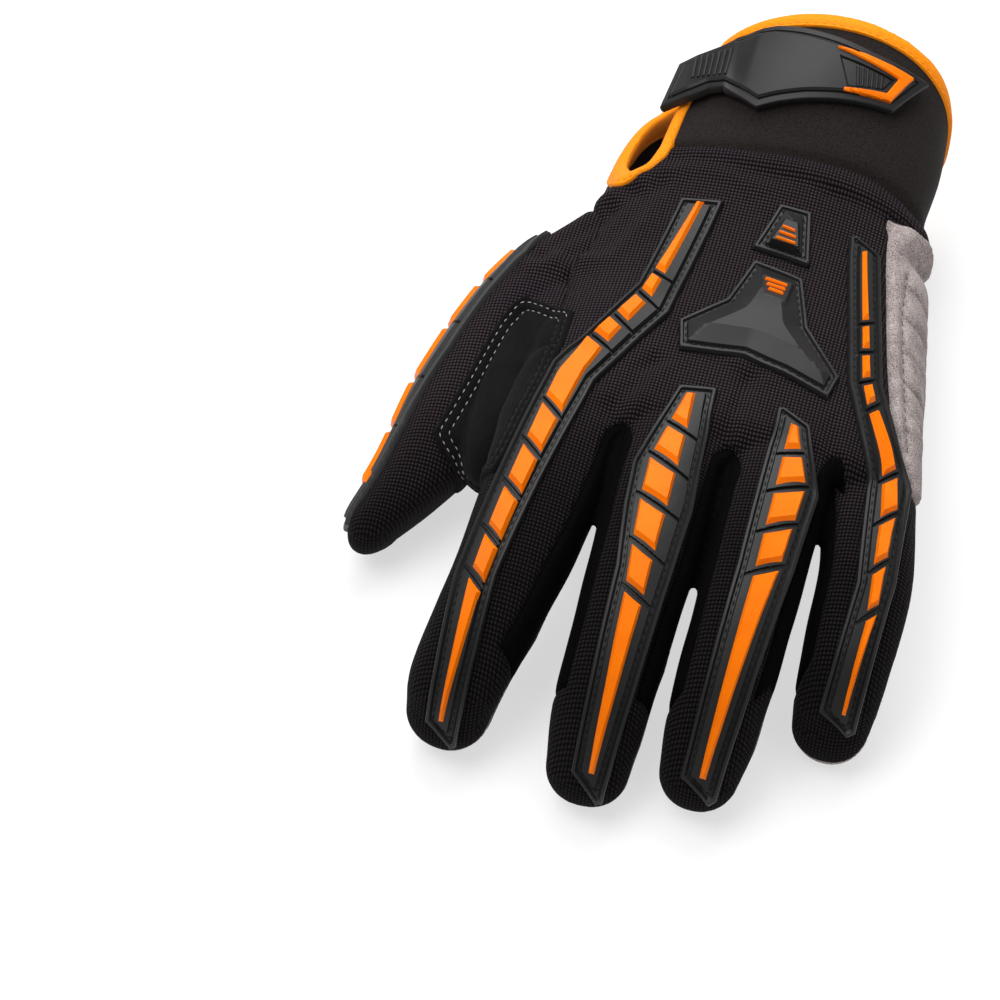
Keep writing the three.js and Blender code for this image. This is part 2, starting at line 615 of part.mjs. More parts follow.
const strapEnd = stitchRings(STRAP_END.map((row) => [
  new THREE.Vector3(row.x, row.back, row.z),
  new THREE.Vector3(row.x, row.front, row.z),
  new THREE.Vector3(row.x, row.front, row.z + STRAP_END_THICKNESS),
  new THREE.Vector3(row.x, row.back, row.z + STRAP_END_THICKNESS),
]));
const strapBand = layer(STRAP_UNDER, STRAP_TOP).intersect(prism(STRAP_OUTLINE, { low: 40 }));
glove.add(mesh('wrist_strap', strapBand.add(strapEnd), blackRubber));
const chevronBase = STRAP_TOP + GAP;
const chevronOutline = [...CHEVRON.line, ...inset(CHEVRON.line, CHEVRON.width).reverse()];
const chevron = layer(chevronBase, chevronBase + CHEVRON_THICKNESS)
  .intersect(prism(chevronOutline, { low: 40 }));
glove.add(mesh('strap_chevron', chevron, orangeRubber));
const pullTab = layer(GAP, PULL_TAB_TOP).intersect(prism(PULL_TAB, { high: 30 }));
glove.add(mesh('pull_tab', pullTab, blackRubber));

// Two-part mouldings: a black rubber plate, and on it a thin orange strip with raised cells.
function addMoulding(name, plate, base, top, stripRegion, cellRegion) {
  glove.add(mesh(name, plate, blackRubber));
  const web = layer(base + GAP, base + GAP + CELL_WEB).intersect(stripRegion);
  const cells = layer(base + GAP, top).intersect(cellRegion);
  glove.add(mesh(`${name}_cells`, web.add(cells), orangeRubber));
}

const guardLayer = onHand(GUARD_TOP).subtract(upToSeam);
for (const [name, guard] of Object.entries(GUARDS)) {
  const region = prism(strip(guard.cells)).subtract(upToSeam);
  const cells = guard.grooves.reduce((solid, groove) => {
    const left = edgePoint(guard.cells, 'left', groove.left);
    const right = edgePoint(guard.cells, 'right', groove.right);
    return solid.subtract(prism(bar(left, right, GROOVE, 3)));
  }, region);
  const plate = guardLayer.intersect(prism(strip(guard.frame)));
  addMoulding(`${name}_guard`, plate, GUARD_TOP, CELL_TOP, region, cells);
}

const thumbAlong = THUMB_GUARD.tip.clone().sub(THUMB_GUARD.origin).normalize();
const thumbFrame = {
  low: -4, high: 40, origin: THUMB_GUARD.origin,
  u: new THREE.Vector3().crossVectors(thumbAlong, THUMB_GUARD.back).normalize(), v: thumbAlong,
};
const thumbOutline = strip(THUMB_GUARD.frame.map((row) => ({
  leftX: row.upper, leftY: row.distance, rightX: row.lower, rightY: row.distance,
})));
const thumbCell = (row) => [
  [row.middle - row.half, row.start], [row.middle + row.half, row.start],
  [row.middle + row.half, row.end], [row.middle - row.half, row.end],
];
const thumbStrip = THUMB_GUARD.cells.flatMap(({ start, end, middle, half }) => [
  { leftX: middle - half, leftY: start, rightX: middle + half, rightY: start },
  { leftX: middle - half, leftY: end, rightX: middle + half, rightY: end },
]);
addMoulding(
  'thumb_guard',
  onHand(GUARD_TOP).intersect(prism(thumbOutline, thumbFrame)),
  GUARD_TOP,
  CELL_TOP,
  prism(strip(thumbStrip), thumbFrame),
  union(THUMB_GUARD.cells.map((row) => prism(thumbCell(row), thumbFrame))),
);

const onBack = { low: 35 };
for (const [name, plate] of Object.entries(PLATES)) {
  const body = onHand(PLATE_FLANGE_TOP).intersect(prism(plate.outline, onBack))
    .add(onHand(PLATE_TOP).intersect(prism(inset(plate.outline, PLATE_MARGIN), onBack)));
  const stripes = union(plate.stripes.map((row) => prism(bar(
    new THREE.Vector2(row.leftX, row.leftY), new THREE.Vector2(row.rightX, row.rightY), STRIPE_WIDTH, 0,
  ), onBack)));
  const webbing = prism(inset(strip(plate.stripes), -STRIPE_WIDTH), onBack);
  addMoulding(`${name}_plate`, body, PLATE_TOP, STRIPE_TOP, webbing, stripes);
}

// Pads on the palm side. The heel pad's underside is flat, and the glove lies on it and on the
// fingertip caps.
const underPalm = { high: 32 };
const aboveFloor = (solid) => solid.subtract(block(-130, 130, -200, 130, BELOW, 0));
const heelOutline = Array.from({ length: HEEL_PAD.points }, (_, k) => {
  const angle = (2 * Math.PI * k) / HEEL_PAD.points;
  return [HEEL_PAD.halfX * Math.cos(angle), HEEL_PAD.halfY * Math.sin(angle)];
});
const heelPad = onHand(HEEL_PAD_TOP).intersect(prism(heelOutline, underPalm));
glove.add(mesh('heel_pad', aboveFloor(heelPad), grainedLeather));
const crescent = onHand(CRESCENT_TOP).intersect(prism(CRESCENT, underPalm));
glove.add(mesh('crescent_pad', aboveFloor(crescent), grainedLeather));
const band = onHand(KNUCKLE_BAND_TOP).intersect(prism(KNUCKLE_BAND, underPalm));
const bandCells = onHand(KNUCKLE_CELL_TOP)
  .intersect(union(KNUCKLE_CELLS.map((outline) => prism(outline, underPalm))));
glove.add(mesh('knuckle_band', band.add(bandCells), grainedLeather));

const capLayer = (form) => aboveFloor(loft(form, TIP_CAP_TOP)).subtract(surface);
for (const [name, finger] of Object.entries(FINGERS)) {
  const [left, right] = FINGER_SPLITS[name];
  const guardEnd = prism(inset(strip(GUARDS[name].frame), -GAP))
    .subtract(underSheet(fingerSheet(finger, 0), left, right, -SEAM / 2));
  const region = underSheet(fingerSheet(finger, CAP_EDGE), left, right, 0)
    .intersect(block(left + SEAM / 2, right - SEAM / 2, -170, CAP_STARTS[name]));
  glove.add(mesh(`${name}_cap`, capLayer(finger).intersect(region).subtract(guardEnd), grainedLeather));
}
const thumbCapRegion = underThumbSeam(3).intersect(block(-120, -60, -120, THUMB_CAP_START))
  .subtract(prism(inset(WEB_PATCH, -GAP), { low: WEB_PATCH_FLOOR - GAP }));
const thumbGuardEnd = prism(inset(thumbOutline, -GAP), thumbFrame);
const thumbCap = capLayer(THUMB).intersect(thumbCapRegion).subtract(thumbGuardEnd);
glove.add(mesh('thumb_cap', thumbCap, grainedLeather));

export default glove;
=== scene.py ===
"""The looks of a left-hand impact work glove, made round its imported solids.

Tables are in millimetres. +Z is up, the fingers point to -Y, the open cuff to +Y and the thumb to
-X. The origin lies under the middle of the heel pad.
"""

import math
from types import SimpleNamespace

import bpy
import numpy as np
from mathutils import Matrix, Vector, noise
from mathutils.bvhtree import BVHTree
from mathutils.kdtree import KDTree


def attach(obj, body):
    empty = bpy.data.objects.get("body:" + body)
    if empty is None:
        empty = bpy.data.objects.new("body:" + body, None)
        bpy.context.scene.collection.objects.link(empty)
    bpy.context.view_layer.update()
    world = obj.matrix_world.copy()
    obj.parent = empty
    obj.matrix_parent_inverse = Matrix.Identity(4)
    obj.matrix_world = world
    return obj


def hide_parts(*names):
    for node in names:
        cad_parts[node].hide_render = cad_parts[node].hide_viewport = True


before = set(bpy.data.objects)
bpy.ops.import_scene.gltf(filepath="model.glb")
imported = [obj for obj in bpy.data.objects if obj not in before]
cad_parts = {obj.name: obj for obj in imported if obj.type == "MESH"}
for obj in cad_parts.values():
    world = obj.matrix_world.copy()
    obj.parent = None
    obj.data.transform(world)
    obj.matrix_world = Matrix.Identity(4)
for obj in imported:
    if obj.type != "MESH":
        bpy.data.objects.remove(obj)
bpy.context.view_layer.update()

# The studio. The glove lies palm down on a pale sheet under large soft boxes, and is seen from
# beyond its fingertips, well above them and a little to the little finger's side.
MM = 0.001
AZIMUTH = math.radians(14.5)
ELEVATION = math.radians(57)
DISTANCE = 1.0
LENS = 131.8
AIM = Vector((-52, -79, 36)) * MM
AIR_LIGHT = 0.22
SCENE = bpy.context.scene


def direction(azimuth, elevation):
    """The unit vector from the glove towards a lamp or camera."""
    return Vector((
        math.sin(azimuth) * math.cos(elevation),
        -math.cos(azimuth) * math.cos(elevation),
        math.sin(elevation),
    ))


def placed(name, data, azimuth, elevation, distance):
    """An object that looks at the glove from that side."""
    thing = bpy.data.objects.new(name, data)
    SCENE.collection.objects.link(thing)
    away = direction(azimuth, elevation)
    thing.location = AIM + away * distance
    thing.rotation_euler = (-away).to_track_quat("-Z", "Y").to_euler()
    return thing


def linear(code):
    """An sRGB hex colour as the linear colour that nodes take."""
    channels = [int(code[k:k + 2], 16) / 255 for k in (0, 2, 4)]
    return (*[c / 12.92 if c <= 0.04045 else ((c + 0.055) / 1.055) ** 2.4 for c in channels], 1)


def add(tree, kind, settings, inputs):
    """Adds a node with its settings. An input takes a value or another node's output."""
    made = tree.nodes.new(kind)
    for key, value in settings.items():
        setattr(made, key, value)
    for key, value in inputs.items():
        if isinstance(value, bpy.types.NodeSocket):
            tree.links.new(value, made.inputs[key])
        else:
            made.inputs[key].default_value = value
    return made.outputs


def material(name, constants):
    """A new material, its tree and its shader, with constants on the shader's own sockets."""
    made = bpy.data.materials.new(name)
    made.use_nodes = True
    shader = made.node_tree.nodes["Principled BSDF"]
    for key, value in constants.items():
        shader.inputs[key].default_value = value
    return made, made.node_tree, shader


camera = placed("camera", bpy.data.cameras.new("camera"), AZIMUTH, ELEVATION, DISTANCE)
camera.data.lens = LENS
SCENE.camera = camera
SCENE.view_settings.view_transform = "Standard"

LAMPS = {
    "key": {"azimuth": -75, "elevation": 70, "distance": 0.9, "size": 0.6, "watts": 5.6},
    "fill": {"azimuth": 80, "elevation": 45, "distance": 0.9, "size": 0.8, "watts": 1.4},
    "back": {"azimuth": 185, "elevation": 52, "distance": 0.8, "size": 0.6, "watts": 5.2},
}
for name, lamp in LAMPS.items():
    light = bpy.data.lights.new(name, "AREA")
    light.size = lamp["size"]
    light.energy = lamp["watts"]
    azimuth, elevation = math.radians(lamp["azimuth"]), math.radians(lamp["elevation"])
    placed(name, light, azimuth, elevation, lamp["distance"])

world = bpy.data.worlds.new("studio air")
SCENE.world = world
world.use_nodes = True
world.node_tree.nodes["Background"].inputs["Color"].default_value = linear("F4F5F7")
world.node_tree.nodes["Background"].inputs["Strength"].default_value = AIR_LIGHT

# The sheet under the glove: matt white acrylic, lit a little from below as for cut-out product
# pictures, with the faintest haze in its body.
SHEET_SIZE = 3.0
HAZE = 900.0
acrylic, tree, shader = material("matt white acrylic", {
    "Roughness": 0.9, "Specular IOR Level": 0.2, "Emission Color": (1, 1, 1, 1), "Emission Strength": 0.6,
})
place = add(tree, "ShaderNodeTexCoord", {}, {})["Object"]
haze = add(tree, "ShaderNodeTexNoise", {}, {"Vector": place, "Scale": HAZE})["Fac"]
shade = add(tree, "ShaderNodeMix", {"data_type": "RGBA"}, {
    0: haze, 6: linear("ACACAC"), 7: linear("B0B0B0"),
})[2]
tree.links.new(shade, shader.inputs["Base Color"])
floor_mesh = bpy.data.meshes.new("floor")
half = SHEET_SIZE / 2
corners = [(-half, -half, 0), (half, -half, 0), (half, half, 0), (-half, half, 0)]
floor_mesh.from_pydata(corners, [], [(0, 1, 2, 3)])
floor = bpy.data.objects.new("floor", floor_mesh)
floor.data.materials.append(acrylic)
SCENE.collection.objects.link(floor)

# The hand. The glove's panels are cut and sewn to fit a hand, so all of them are cut here from one
# skin: lofts through sections of the arm, fingers, thumb and thumb web, run together and relaxed.
# The columns of a loft's rows are x, y, z of its centre, width, depth and the power of its curve.
ARM = {"across": (1, 0, 0), "dome": 9, "rows": [
    (8.2, 84, 38.5, 70.5, 67, 2.2), (5, 64, 35.5, 78, 62, 2.2), (1.2, 52, 32.5, 86.5, 56, 2.2),
    (-1.5, 41, 30, 93, 52, 2.3), (-2.5, 20, 28.3, 98, 50.5, 2.5), (-2, -2, 29, 105, 52, 2.5),
    (-1.7, -22, 31, 110, 54.5, 2.5), (-1, -40, 37, 111, 47, 2.5), (-1, -56, 43, 103, 36, 2.5),
]}
FINGERS = {
    "index": {"across": (1, 0, 0), "dome": 10.5, "rows": [
        (-37.5, -45, 44, 33, 27, 2.3), (-39.5, -68, 45.5, 33, 26, 2.3), (-41.8, -92, 42.5, 31, 24.5, 2.3),
        (-46.7, -114.4, 32.5, 28, 22.5, 2.3), (-51.3, -128.9, 20.8, 25.4, 19.5, 2.3),
        (-52.2, -134.6, 13.6, 23, 17, 2.3),
    ]},
    "middle": {"across": (1, 0, 0), "dome": 11, "rows": [
        (-7.5, -45, 46, 31, 27, 2.3), (-8.3, -70, 47, 30, 25.5, 2.3), (-8.8, -95, 43.5, 28.6, 24, 2.3),
        (-10.2, -116.4, 34, 26.6, 22, 2.3), (-11.3, -133.5, 20.4, 25, 19.5, 2.3),
        (-11.4, -141.2, 13, 23, 17, 2.3),
    ]},
    "ring": {"across": (1, 0, 0), "dome": 10.5, "rows": [
        (21.5, -45, 44.5, 29, 26, 2.3), (21.2, -70, 45.5, 28.7, 25, 2.3), (20.9, -95, 42, 27, 23.5, 2.3),
        (20, -113.4, 33, 26.4, 21.5, 2.3), (18.6, -128.2, 20.6, 24.6, 19, 2.3),
        (17.8, -135.6, 13, 22, 16.8, 2.3),
    ]},
    "little": {"across": (1, 0, 0), "dome": 11, "rows": [
        (43.5, -38, 38, 24, 24, 2.3), (46.6, -60, 38.5, 25.5, 23, 2.3), (49.8, -82, 35, 25.6, 21.5, 2.3),
        (49.6, -99.4, 26.5, 24.4, 19, 2.3), (49, -107.6, 18, 23.2, 17.5, 2.3),
        (48.8, -112, 12.4, 21.4, 15.8, 2.3),
    ]},
}
THUMB = {"across": (0.2, 0, 0.98), "dome": 12, "rows": [
    (-43, 20, 26, 32, 20, 2.3), (-58.5, -6, 26, 36, 28, 2.3), (-66.8, -25, 24.5, 33, 27, 2.3),
    (-72.2, -42.7, 22, 31, 26.5, 2.3), (-77.5, -61.9, 18.9, 26.2, 22, 2.3),
    (-86.2, -79.6, 14.4, 20, 14, 2.3),
]}
WEB = {"across": (0, 1, 0), "dome": 0, "rows": [
    (-71, -38, 24, 54, 16, 2.4), (-62, -37, 26, 68, 24, 2.8), (-50, -36, 31.5, 70, 30, 2.8),
    (-36, -34, 36, 62, 30, 2.3),
]}
SIDES = 72
STATIONS = 48
RUN_OUT = 5
DOME_ANGLES = np.radians([12, 24, 36, 48, 60, 70, 80])
VOXEL = 0.85
RELAXING = 14


def unit(vectors):
    """Vectors scaled to length one."""
    return vectors / np.maximum(np.linalg.norm(vectors, axis=-1, keepdims=True), 1e-9)


def through(knots, share):
    """Points at shares of a smooth curve through the knots, which lie at even shares of it."""
    padded = np.vstack([2 * knots[0] - knots[1], knots, 2 * knots[-1] - knots[-2]])
    at = np.clip(share, 0, 1) * (len(knots) - 1)
    start = np.minimum(at.astype(int), len(knots) - 2)
    w = (at - start)[:, None]
    a, b, c, d = (padded[start + k] for k in range(4))
    first, middle, last = (
        np.maximum(np.linalg.norm(q - p, axis=1, keepdims=True), 1e-6) ** 0.5
        for p, q in ((a, b), (b, c), (c, d))
    )
    leave = ((b - a) / first - (c - a) / (first + middle) + (c - b) / middle) * middle
    reach = ((c - b) / middle - (d - b) / (middle + last) + (d - c) / last) * middle
    return b + leave * w + (3 * (c - b) - 2 * leave - reach) * w**2 + (2 * (b - c) + leave + reach) * w**3


def loft(form):
    """Points and triangles of a closed solid through a form's rows, domed at its far end."""
    rows = np.array(form["rows"], float)
    share = np.linspace(0, 1, STATIONS)
    centres = through(rows[:, :3], share)
    tangents = unit(through(rows[:, :3], share + 1e-3) - through(rows[:, :3], share - 1e-3))
    sizes = through(rows[:, 3:], share)
    scales = np.ones(STATIONS)
    tips = DOME_ANGLES if form["dome"] else np.zeros(1)
    advance = form["dome"] * np.sin(tips) if form["dome"] else np.full(1, RUN_OUT)
    centres = np.vstack([
        centres[:1] - RUN_OUT * tangents[:1], centres, centres[-1] + advance[:, None] * tangents[-1],
    ])
    tangents = np.vstack([tangents[:1], tangents, np.repeat(tangents[-1:], len(tips), axis=0)])
    sizes = np.vstack([sizes[:1], sizes, np.repeat(sizes[-1:], len(tips), axis=0)])
    scales = np.concatenate([[1], scales, np.cos(tips)])
    across = np.array(form["across"], float)
    across = unit(across - (tangents @ across)[:, None] * tangents)
    up = np.cross(tangents, across)
    angles = np.linspace(0, 2 * np.pi, SIDES, endpoint=False)
    cosine, sine = np.cos(angles), np.sin(angles)
    power = 2 / sizes[:, 2:3]
    wide = sizes[:, :1] / 2 * scales[:, None] * np.sign(cosine) * np.abs(cosine) ** power
    deep = sizes[:, 1:2] / 2 * scales[:, None] * np.sign(sine) * np.abs(sine) ** power
    rings = centres[:, None] + wide[..., None] * across[:, None] + deep[..., None] * up[:, None]
    count = len(rings)
    points = np.vstack([rings.reshape(-1, 3), rings[0].mean(axis=0), rings[-1].mean(axis=0)])
    here = (np.arange(count - 1)[:, None] * SIDES + np.arange(SIDES)).ravel()
    beside = (np.arange(count - 1)[:, None] * SIDES + (np.arange(SIDES) + 1) % SIDES).ravel()
    around = np.arange(SIDES)
    next_round = (around + 1) % SIDES
    foot, head = count * SIDES, count * SIDES + 1
    last = (count - 1) * SIDES
    triangles = np.vstack([
        np.stack([here, beside, beside + SIDES], 1), np.stack([here, beside + SIDES, here + SIDES], 1),
        np.stack([np.full(SIDES, foot), next_round, around], 1),
        np.stack([np.full(SIDES, head), last + around, last + next_round], 1),
    ])
    return points, triangles


def mesh_of(name, points, triangles):
    """A Blender mesh in metres from points in millimetres."""
    mesh = bpy.data.meshes.new(name)
    mesh.from_pydata((points * MM).tolist(), [], triangles.tolist())
    mesh.update()
    return mesh


def run_together(forms, voxel):
    """One even skin round all the forms."""
    parts = [loft(form) for form in forms]
    starts = np.cumsum([0] + [len(points) for points, _ in parts[:-1]])
    points = np.vstack([points for points, _ in parts])
    triangles = np.vstack([faces + start for (_, faces), start in zip(parts, starts)])
    source = bpy.data.objects.new("skin", mesh_of("skin", points, triangles))
    SCENE.collection.objects.link(source)
    remesh = source.modifiers.new("voxels", "REMESH")
    remesh.mode = "VOXEL"
    remesh.voxel_size = voxel * MM
    skin = bpy.data.meshes.new_from_object(source.evaluated_get(bpy.context.evaluated_depsgraph_get()))
    bpy.data.objects.remove(source)
    points = np.empty(len(skin.vertices) * 3, np.float32)
    skin.vertices.foreach_get("co", points)
    skin.calc_loop_triangles()
    triangles = np.empty(len(skin.loop_triangles) * 3, np.int32)
    skin.loop_triangles.foreach_get("vertices", triangles)
    return points.reshape(-1, 3).astype(float) / MM, triangles.reshape(-1, 3).astype(int)


def spread(amounts, index, count):
    """The sum of amounts for each point that index names."""
    return np.stack([np.bincount(index, column, count) for column in amounts.T], 1)


def relaxed(points, triangles, rounds, back=-0.52):
    """Points drawn to the middle of their neighbours, and back by turns so that nothing shrinks."""
    edges = np.sort(np.vstack([triangles[:, [0, 1]], triangles[:, [1, 2]], triangles[:, [2, 0]]]), axis=1)
    a, b = np.unique(edges, axis=0).T
    ends, others = np.concatenate([a, b]), np.concatenate([b, a])
    degree = np.maximum(np.bincount(ends, minlength=len(points)), 1)[:, None]
    for turn in range(rounds):
        pull = 0.5 if turn % 2 == 0 else back
        points = points + pull * (spread(points[others], ends, len(points)) / degree - points)
    return points


def normals_of(points, triangles):
    """Smooth normals at the points."""
    a, b, c = (points[triangles[:, k]] for k in range(3))
    facing = np.cross(b - a, c - a)
    return unit(sum(spread(facing, triangles[:, k], len(points)) for k in range(3)))


def nearest(form_points, form_triangles, points):
    """The distance from each point to a form's own surface."""
    tree_of_form = BVHTree.FromPolygons(form_points.tolist(), form_triangles.tolist())
    return np.array([tree_of_form.find_nearest(point)[3] for point in points.tolist()])


rest, triangles = run_together([ARM, *FINGERS.values(), THUMB, WEB], VOXEL)
rest = relaxed(rest, triangles, RELAXING)

# How the worn cloth lies on the form: soft folds that run between two points of the plan on the
# back, puckers at the wrist, a ridge where the cuff is sewn on, and a slow unevenness all over. The
# moulded rubber holds it flat, and the ridge fades towards the slit.
FOLDS = [
    {"from": (-40, 24), "to": (-52, 2), "depth": 2.4, "width": 3},
    {"from": (-33, 26), "to": (-44, 4), "depth": 1.8, "width": 3},
    {"from": (-46, 20), "to": (-60, 0), "depth": 1.8, "width": 2.5},
    {"from": (-30, 36.5), "to": (34, 31.5), "depth": 1.2, "width": 2.5},
    {"from": (-27, -54), "to": (-20, -38), "depth": 2, "width": 3.5},
    {"from": (3, -56), "to": (8, -38), "depth": 2, "width": 3.5},
    {"from": (12, -42), "to": (-4, -36), "depth": 1, "width": 2.2},
    {"from": (34, -52), "to": (31, -36), "depth": 1.8, "width": 3.5},
    {"from": (-14, -36), "to": (-30, -44), "depth": 1, "width": 2.2},
]
PUCKERS = [
    {"from": (47, 38, 30), "to": (46, 36, 38), "size": 6, "height": 3},
    {"from": (46, 26, 26), "to": (43, 25, 42), "size": 4, "height": -2.8},
    {"from": (47, 20, 30), "to": (46, 20, 38), "size": 5, "height": 0.8},
]
UNDER_RUBBER = [
    [(-19, 22), (-24, -19), (-38, -50), (-45, -82)], [(-5, -45), (-8, -80)], [(18, -46), (24, -80)],
    [(24, 21), (29, 15), (37, -30), (50, -57)], [(8, 22), (7, -12), (-11, -29)], [(8, -20), (28, -35)],
]
FOLD_BANK = {"rise": 0.5, "at": 1.9}
STIFF_REACH = (8, 14)
UNEVEN_SIZE = 17
UNEVEN_DEPTH = 0.55
UNEVEN_UNDER_RUBBER = 0.3
CUFF_SEAM = 41
CUFF_RIDGE = {"width": 4, "at": 1.3, "rise": 1.1, "dip": 0.9, "dip_width": 0.5}
EVEN_FACING = 6
EVEN_BY_SLIT = (-37, -26)


def segment_distance(points, start, end):
    """The distance of flat points from a line between two points."""
    start, end = np.array(start, float), np.array(end, float)
    along = end - start
    share = np.clip((points - start) @ along / (along @ along), 0, 1)
    return np.linalg.norm(points - start - share[:, None] * along, axis=1)


def path_distance(flat, path):
    """The distance of flat points from a path."""
    return np.min([segment_distance(flat, start, end) for start, end in zip(path, path[1:])], axis=0)


skin_normals = normals_of(rest, triangles)
uneven = np.array([noise.noise(Vector(point) / UNEVEN_SIZE) for point in rest.tolist()])
from_rubber = np.min([path_distance(rest[:, :2], path) for path in UNDER_RUBBER], axis=0)
loose = np.clip((from_rubber - STIFF_REACH[0]) / (STIFF_REACH[1] - STIFF_REACH[0]), 0, 1)
upward = np.clip(skin_normals[:, 2] * 2, 0, 1)
loose = 1 - upward * (1 - loose)
shift = UNEVEN_DEPTH * uneven * (UNEVEN_UNDER_RUBBER + (1 - UNEVEN_UNDER_RUBBER) * loose)
for fold in FOLDS:
    away = segment_distance(rest[:, :2], fold["from"], fold["to"]) / fold["width"]
    bank = FOLD_BANK["rise"] * np.exp(-((away - FOLD_BANK["at"]) ** 2))
    shift += fold["depth"] * upward * loose * (bank - np.exp(-(away**2)))
for pucker in PUCKERS:
    away = segment_distance(rest, pucker["from"], pucker["to"]) / pucker["size"]
    shift += pucker["height"] * np.exp(-(away**2))
past_seam = (CUFF_SEAM - rest[:, 1]) / CUFF_RIDGE["width"]
by_slit = np.clip((rest[:, 0] - EVEN_BY_SLIT[0]) / (EVEN_BY_SLIT[1] - EVEN_BY_SLIT[0]), 0, 1)
ridge = CUFF_RIDGE["rise"] * np.exp(-((past_seam - CUFF_RIDGE["at"]) ** 2))
ridge -= CUFF_RIDGE["dip"] * np.exp(-((past_seam / CUFF_RIDGE["dip_width"]) ** 2))
shift += by_slit * ridge
skin_points = rest + shift[:, None] * skin_normals
skin_normals = unit(relaxed(normals_of(skin_points, triangles), triangles, EVEN_FACING, 0.5))

# The cut of the panels. A panel is part of the skin between its seams. It is drawn as a table with
# a row for each point, which holds its place, its normal, its place on the bare form, and how much
# nearer it is to the thumb than to the palm. The plan is the bare form's place seen from above.
PLACE, NORMAL, REST, PLAN = slice(0, 3), slice(3, 6), slice(6, 9), slice(6, 8)
NORMAL_UP, REST_X, REST_Y, REST_Z, THUMB_SIDE = 5, 6, 7, 8, 9
FABRIC = 1.6
SEAM_DIP = 0.9
SEAM_REACH = 2.0
EDGE_FULLNESS = 0.3
WEAVE_FROM_ABOVE = 1.6


def crossed(faces, level):
    """The faces that a level of nought crosses, and the edges it cuts: the lone corner's two."""
    over = level[faces] > 0
    count = over.sum(axis=1)
    mixed = (count == 1) | (count == 2)
    alone = np.where(count == 1, over.argmax(axis=1), (~over).argmax(axis=1))[mixed]
    lone, left, right = np.take_along_axis(faces[mixed], (alone[:, None] + np.arange(3)) % 3, axis=1).T
    pairs = np.sort(np.vstack([np.stack([lone, left], 1), np.stack([lone, right], 1)]), axis=1)
    cut, index = np.unique(pairs, axis=0, return_inverse=True)
    return mixed, (lone, left, right), cut, index.reshape(2, -1)


def between(table, level, cut):
    """The rows of a table where level is nought on the cut edges."""
    a, b = cut.T
    share = (level[a] / (level[a] - level[b]))[:, None]
    return table[a] + share * (table[b] - table[a])


def scored(table, faces, level):
    """The table and faces with new edges where level crosses nought, and level at their points."""
    level = np.where(np.abs(level) < 1e-6, 1e-6, level)
    mixed, (lone, left, right), cut, index = crossed(faces, level)
    if not mixed.any():
        return table, faces, level
    first, second = index + len(table)
    faces = np.vstack([
        faces[~mixed], np.stack([lone, first, second], 1), np.stack([first, left, second], 1),
        np.stack([left, right, second], 1),
    ])
    return np.vstack([table, between(table, level, cut)]), faces, np.append(level, np.zeros(len(cut)))


def contour(points, faces, level):
    """The line on a mesh where level crosses nought: its points and edges."""
    level = np.where(np.abs(level) < 1e-6, 1e-6, level)
    _, _, cut, index = crossed(faces, level)
    return between(points, level, cut), index.T


def trimmed(table, faces):
    """The same without unused points."""
    used, index = np.unique(faces, return_inverse=True)
    return table[used], index.reshape(-1, 3)


def parted(sheet, level):
    """The parts of a sheet where level is above and below nought."""
    table, faces, level = scored(*sheet, level)
    over = level[faces].sum(axis=1) > 0
    return trimmed(table, faces[over]), trimmed(table, faces[~over])


def furrow(distance, width):
    """A soft furrow, one deep at its middle."""
    return np.exp(-((distance / width) ** 2))


def depth_in(points, outline):
    """How far flat points lie inside an outline. It is negative outside."""
    outline = np.asarray(outline, float)
    distance = np.full(len(points), np.inf)
    inside = np.zeros(len(points), bool)
    for start, end in zip(outline, np.roll(outline, -1, axis=0)):
        distance = np.minimum(distance, segment_distance(points, start, end))
        beside = (start[1] > points[:, 1]) != (end[1] > points[:, 1])
        rise = end[1] - start[1] if abs(end[1] - start[1]) > 1e-9 else 1e-9
        edge = start[0] + (points[:, 1] - start[1]) * (end[0] - start[0]) / rise
        inside ^= beside & (points[:, 0] < edge)
    return np.where(inside, distance, -distance)


def open_edges(faces):
    """The edges that only one face has, in that face's order."""
    edges = np.vstack([faces[:, [0, 1]], faces[:, [1, 2]], faces[:, [2, 0]]])
    size = faces.max() + 1
    return edges[~np.isin(edges[:, 0] * size + edges[:, 1], edges[:, 1] * size + edges[:, 0])]


def edge_distance(points, faces):
    """The distance of each point from the open edge of its sheet."""
    edge = np.unique(open_edges(faces))
    finder = KDTree(len(edge))
    for index, point in enumerate(points[edge].tolist()):
        finder.insert(point, index)
    finder.balance()
    return np.array([finder.find(point)[2] for point in points.tolist()])


def closed(top, bottom, faces):
    """Points and faces of the closed piece between two facing skins."""
    a, b = open_edges(faces).T
    count = len(top)
    walls = np.vstack([np.stack([b, a, a + count], 1), np.stack([b, a + count, b + count], 1)])
    return np.vstack([top, bottom]), np.vstack([faces, faces[:, ::-1] + count, walls])


def shown(name, points, faces, finish, slot, nodes, crease=40):
    """A finished piece of the glove that stands for its solids. Its weave is laid on from the axis
    that each face looks along, and mostly from above."""
    mesh = mesh_of(name, points, faces)
    mesh.polygons.foreach_set("use_smooth", np.ones(len(faces), bool))
    mesh.set_sharp_from_angle(angle=math.radians(crease))
    a, b, c = (points[faces[:, k]] for k in range(3))
    facing = np.abs(np.cross(b - a, c - a))
    facing[:, 2] *= WEAVE_FROM_ABOVE
    axes = np.array([(1, 2), (0, 2), (0, 1)])[facing.argmax(axis=1)]
    flat = np.take_along_axis(points[faces], axes[:, None, :].repeat(3, axis=1), axis=2)
    mesh.uv_layers.new(name="weave").data.foreach_set("uv", flat.reshape(-1).astype(np.float32))
    mesh.materials.append(finish)
    piece = bpy.data.objects.new(name, mesh)
    SCENE.collection.objects.link(piece)
    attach(piece, "root")
    if nodes:
        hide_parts(*nodes)
    return piece


